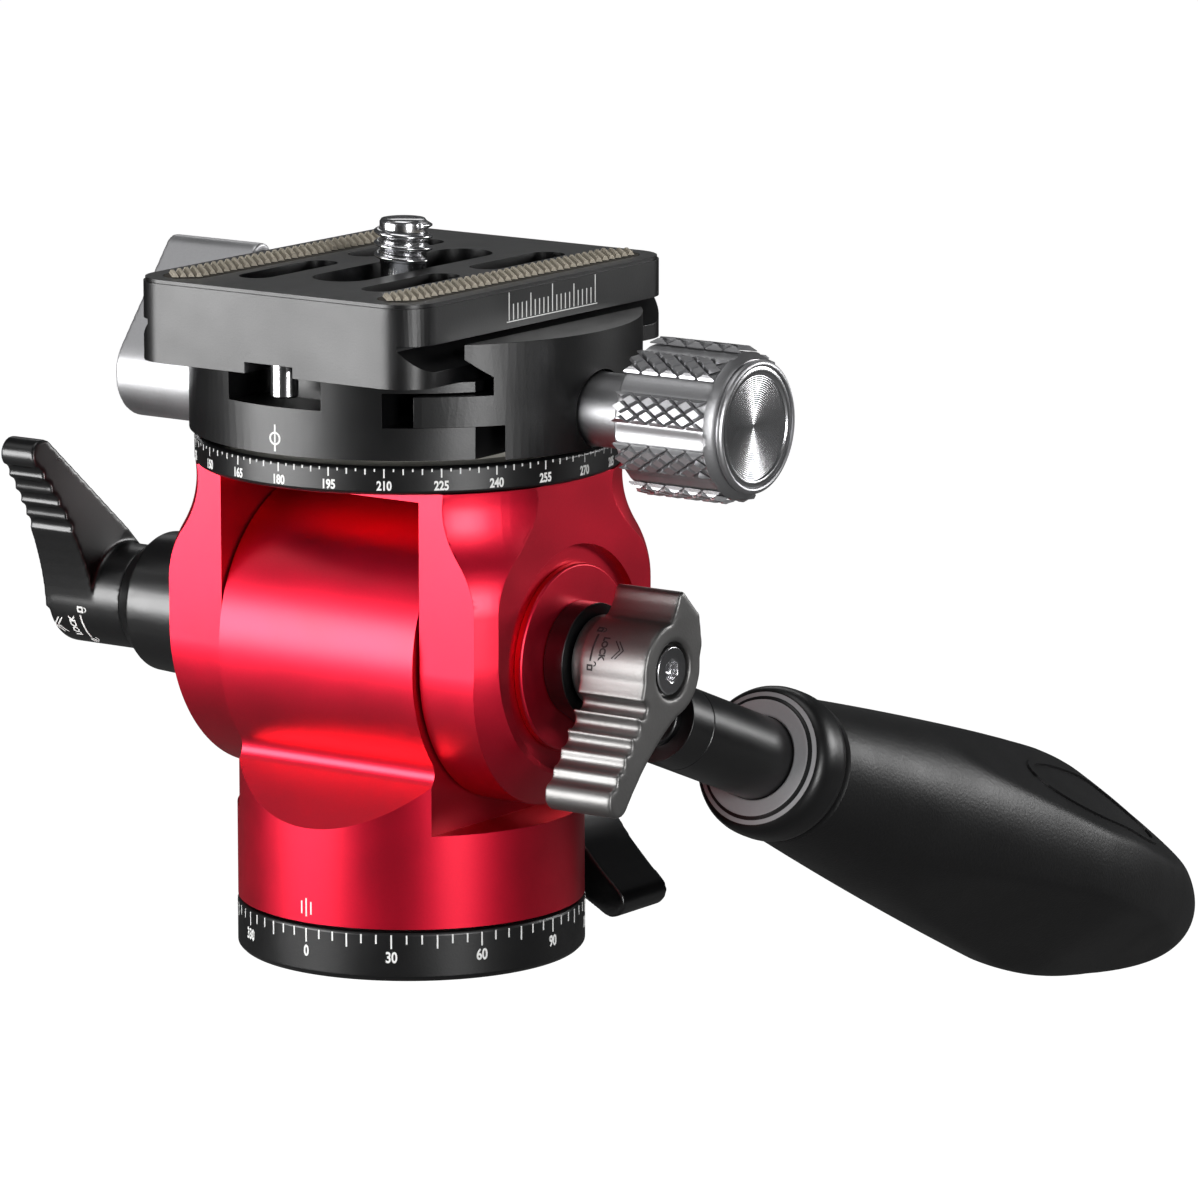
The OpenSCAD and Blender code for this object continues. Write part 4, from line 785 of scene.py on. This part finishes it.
def printed(name, node, drawing, aim, ink, stand=0.03, carrier=None):
    """Lays a drawing on a node, or on what stands for it.

    For each point of the drawing, aim gives a point outside the node, in mm, and a direction to look in.
    """
    carrier = carrier or frame["nodes"][node].data
    surface = BVHTree.FromPolygons([v.co for v in carrier.vertices], [p.vertices for p in carrier.polygons])
    work = bmesh.new()
    for corners, faces in drawing:
        pairs = []
        for u, v in corners:
            start, look = aim(u, v)
            look = Vector(look).normalized()
            hit = surface.ray_cast(Vector(start) * mm, look)[0]
            pairs.append((hit - look * stand * mm, hit + look * stand * mm))
        upper = [work.verts.new(p[0]) for p in pairs]
        lower = [work.verts.new(p[1]) for p in pairs]
        used = {}
        for face in faces:
            work.faces.new([upper[i] for i in face])
            work.faces.new([lower[i] for i in reversed(face)])
            for i, j in zip(face, face[1:] + face[:1]):
                used[(i, j)] = True
        for i, j in used:
            if (j, i) not in used:
                work.faces.new((upper[j], upper[i], lower[i], lower[j]))
    bmesh.ops.recalc_face_normals(work, faces=work.faces)
    mesh = bpy.data.meshes.new(name)
    work.to_mesh(mesh)
    work.free()
    mesh.materials.append(ink)
    return piece(name, mesh, body_of(node))


def round_dial(radius, away):
    """Looks at the upright axis from all round: u is mm along a dial from its index, v is the height."""
    def aim(u, v):
        a = u / radius - math.pi / 2
        return (away * math.cos(a), away * math.sin(a), v), (-math.cos(a), -math.sin(a), 0)

    return aim


round_foot = round_dial(FOOT_R, away=40)
round_top = round_dial(TOP_R, away=60)
foot_numbers = [lettering(str(n), height=1.15, squeeze=0.78,
                          place_u=math.radians(n) * FOOT_R, place_v=2.75)
                for n in range(0, 360, 30)]
printed("base_dial_numbers", "base_dial", foot_numbers, round_foot, white_ink)
top_numbers = [lettering(str(n), height=0.95, squeeze=0.78,
                         place_u=math.radians(n - 180) * TOP_R, place_v=54.95)
               for n in range(0, 360, 15)]
printed("top_dial_numbers", "top_dial", top_numbers, round_top, white_ink)
printed("column_index", "pan_column", [
    line((0, 6.5), (0, 8.5), 0.17), line((-0.62, 6.75), (-0.62, 8.15), 0.17),
    line((0.62, 6.75), (0.62, 8.15), 0.17)], round_foot, white_ink)
printed("clamp_index", "clamp_body", [
    line((0, 58.0), (0, 58.75), 0.2), line((0, 60.05), (0, 60.9), 0.2), loop(0, 59.4, 0.62, 0.2),
    line((0, 58.95), (0, 59.85), 0.16)], round_top, white_ink)


def plate_side(u, v):
    """The plate's side on the knob's hand: u runs along it."""
    return (40, u, v), (-1, 0, 0)


scale = [line((-7.2, 71.35), (9.4, 71.35), 0.1, 2)]
for i in range(21):
    tall = 3.0 if i % 10 == 0 else 2.5 if i % 5 == 0 else 1.7
    along = -6.8 + 0.79 * i
    scale.append(line((along, 71.5), (along, 71.5 + tall), 0.14, 2))
printed("plate_scale", "plate", scale, plate_side, white_ink)


def padlock(u, v, open_bow, s=1.0):
    """A small padlock at scale s: its case as strokes round a hole, and a bow that is shut or swung open."""
    case = [line((u - 0.36 * s, v - 0.24 * s), (u + 0.36 * s, v - 0.24 * s), 0.2 * s, 3),
            line((u - 0.36 * s, v + 0.24 * s), (u + 0.36 * s, v + 0.24 * s), 0.2 * s, 3),
            line((u - 0.28 * s, v - 0.16 * s), (u - 0.28 * s, v + 0.16 * s), 0.18 * s, 3),
            line((u + 0.28 * s, v - 0.16 * s), (u + 0.28 * s, v + 0.16 * s), 0.18 * s, 3)]
    shift = 0.44 * s if open_bow else 0.0
    return case + [loop(u + 0.52 * s, v + shift, 0.22 * s, 0.11 * s, -100, 100)]


def lock_marks(side, s):
    """Two padlocks joined by a line, a word and two arrows; u points away from the head, v goes round."""
    marks = padlock(side * -0.1, 2.2 * s, False, s) + padlock(side * -0.1, -2.25 * s, True, s)
    marks.append(line((0, 1.55 * s), (-0.1 * side, -1.55 * s), 0.2 * s, 10))
    word, faces = lettering("LOCK", height=0.72 * s, squeeze=0.95, place_u=0, place_v=0)
    marks.append(([(side * (1.28 * s + y), -side * x) for x, y in word], faces))
    for step in (2.55, 3.0):
        tip = (side * (step + 0.85) * s, 0)
        marks.append(line((side * step * s, 1.0 * s), tip, 0.13 * s, 6))
        marks.append(line(tip, (side * step * s, -1.0 * s), 0.13 * s, 6))
    return marks


def round_tilt_axis(x, degrees, radius):
    """Looks at the tilt axis from all round: u runs along it from x, v round it from an angle."""
    away = 14

    def aim(u, v):
        a = math.radians(degrees) - v / radius
        start = (x + u, away * math.cos(a), TILT_HEIGHT + away * math.sin(a))
        return start, (0, -math.cos(a), -math.sin(a))

    return aim


printed("handle_lever_marks", "handle_lever", lock_marks(side=1, s=1.0),
        round_tilt_axis(x=27.7, degrees=151, radius=5.2), black_ink)
printed("tilt_lever_marks", "tilt_lever", lock_marks(side=-1, s=1.1),
        round_tilt_axis(x=-41.7, degrees=214, radius=5.85), white_ink)


# Grip: a swelling handle with two flats, turned round the sloping rod

HANDLE_SLOPE = math.radians(21.5)
HANDLE_X = 27.5
HANDLE_DROP = 4.2
GRIP_START = 30.4
GRIP_LENGTH = 94.6
GRIP_RADIUS = 13.0
# Middle of the oval rim, as a share of the grip's length
RIM_PLACE = 0.67
# Flats: place along the grip, depth from its axis, turn round it from the top and lean towards the end.
# Each of the two is level as far as the grip's thickest place and leans in after it.
GRIP_FLATS = [(0.68, depth, math.radians(turn), math.radians(lean))
              for depth, turn in ((10.5, 34), (10.4, 140)) for lean in (0, 7.5)]


def by_handle(along, out, turn):
    """Point in mm at a place along the rod, a distance out from its axis and a turn from the top."""
    up = out * math.cos(turn) - HANDLE_DROP
    return (HANDLE_X + out * math.sin(turn), along * math.cos(HANDLE_SLOPE) + up * math.sin(HANDLE_SLOPE),
            TILT_HEIGHT - along * math.sin(HANDLE_SLOPE) + up * math.cos(HANDLE_SLOPE))


def bend(start, pull, end, parts):
    """Points of a curve from start to end, drawn towards pull, without its first."""
    points = []
    for i in range(1, parts + 1):
        t = i / parts
        points.append(tuple((1 - t) ** 2 * a + 2 * t * (1 - t) * b + t * t * c
                            for a, b, c in zip(start, pull, end)))
    return points


def on_flats(along, radius, turn):
    """The grip's radius where its flats, with softened rims, cut the round shape."""
    crisp = 6
    far = 40
    share = math.exp(-crisp * radius)
    for place, depth, round_turn, lean in GRIP_FLATS:
        facing = math.cos(turn - round_turn) * math.cos(lean)
        reach = depth - (along - GRIP_START - GRIP_LENGTH * place) * math.sin(lean)
        if facing > 0.05:
            share += math.exp(-crisp * min(reach / facing, far))
    return -math.log(share) / crisp


def grip_shape():
    """The grip from the bore for its rod to its blunt end."""
    body = GRIP_START + 6.4
    at = [GRIP_START + GRIP_LENGTH * t for t in (0.334, 0.61, 0.715, 0.82, 0.921, 0.968, 1.0)]
    r = GRIP_RADIUS
    outline = [(8.2, body + 0.25)]
    outline += bend((8.2, body), (0.86 * r, at[0]), (r, at[1]), 60)
    outline += bend((r, at[1]), (1.015 * r, at[2]), (0.8 * r, at[3]), 30)
    outline += bend((0.8 * r, at[3]), (0.63 * r, at[4]), (0.43 * r, at[5]), 24)
    outline += bend((0.43 * r, at[5]), (0.3 * r, at[6]), (0.0, at[6]), 14)[:-1]
    turns = [math.tau * i / 160 for i in range(160)]
    bore = ((4.72, GRIP_START + 42), (4.72, body), (7.9, body))
    rings = [[by_handle(a, out, t) for t in turns] for out, a in bore]
    rings += [[by_handle(a, on_flats(a, out, t), t) for t in turns] for out, a in outline]
    rings = [[tuple(c * mm for c in corner) for corner in ring] for ring in rings]
    return lathe("handle_grip_shape", rings, grip_rubber, crease=40)


def upper_flat(u, v):
    """Looks straight at the grip's upper flat: u runs along the grip from the flat's middle, v across it."""
    turn = GRIP_FLATS[0][2]
    along = GRIP_START + GRIP_LENGTH * RIM_PLACE + u
    middle = Vector(by_handle(along, 20, turn))
    across = Vector(by_handle(along, 1, turn + math.pi / 2)) - Vector(by_handle(along, 0, turn))
    inward = Vector(by_handle(along, 0, turn)) - middle
    return tuple(middle + across * v), tuple(inward)


grip = grip_shape()
piece("handle_grip_shape", grip, "handle", "handle_grip")
rim_turns = [math.tau * i / 48 for i in range(49)]
rim = [(15.0 * math.cos(t), 4.6 * math.sin(t)) for t in rim_turns]
printed("handle_grip_rim", "handle_grip", [stroke(rim, 0.8)], upper_flat, grip_rubber, stand=0.28,
        carrier=grip)
# The collar's faces that look back along the rod take the paler finish, which is painted light
collar = pieces["grip_collar"].data
collar.materials.append(collar_painted_light)
rod_way = Vector((0, math.cos(HANDLE_SLOPE), -math.sin(HANDLE_SLOPE)))
for face in collar.polygons:
    if face.normal.dot(rod_way) < -0.95:
        face.material_index = 1


# Tripod thread inside the foot

piece("tripod_thread", grown("tripod_thread", screw_thread, {
    "Height": 7.6, "Radius": 3.98, "Pitch": 1.59, "Depth": 0.5, "Root": 0.3, "Crest": 1.2, "Across": 0.0,
    "Bottom": 0.6}), "base")


# Floor, well below: the head is held by its foot, and the handle can swing straight down

def pale_floor():
    """Wide sweep that glows white to the camera, is plain paper to the metal and see-through from below."""
    mesh = bpy.data.meshes.new("floor")
    half = 4.0
    low = -100 * mm
    mesh.from_pydata([(-half, -half, low), (half, -half, low), (half, half, low), (-half, half, low)], [],
                     [(0, 1, 2, 3)])
    paper = finish("grey_paper_sweep", "#6A6A6A",
                   metallic=0.0, roughness=0.9, grit_mm=2.0, grit=0.02, tint=0.01)
    tree = paper.node_tree
    path = add(tree, "ShaderNodeLightPath")
    shader = next(n for n in tree.nodes if n.type == "BSDF_PRINCIPLED")
    shader.inputs["Emission Color"].default_value = linear("#FFFFFF")
    tree.links.new(path.outputs["Is Camera Ray"], shader.inputs["Emission Strength"])
    side = add(tree, "ShaderNodeNewGeometry")
    clear = add(tree, "ShaderNodeBsdfTransparent")
    sheet = add(tree, "ShaderNodeMixShader", {0: side.outputs["Backfacing"], 1: shader.outputs[0],
                                              2: clear.outputs[0]})
    shown = next(n for n in tree.nodes if n.type == "OUTPUT_MATERIAL")
    tree.links.new(sheet.outputs[0], shown.inputs["Surface"])
    mesh.materials.append(paper)
    placed("floor", mesh)


pale_floor()
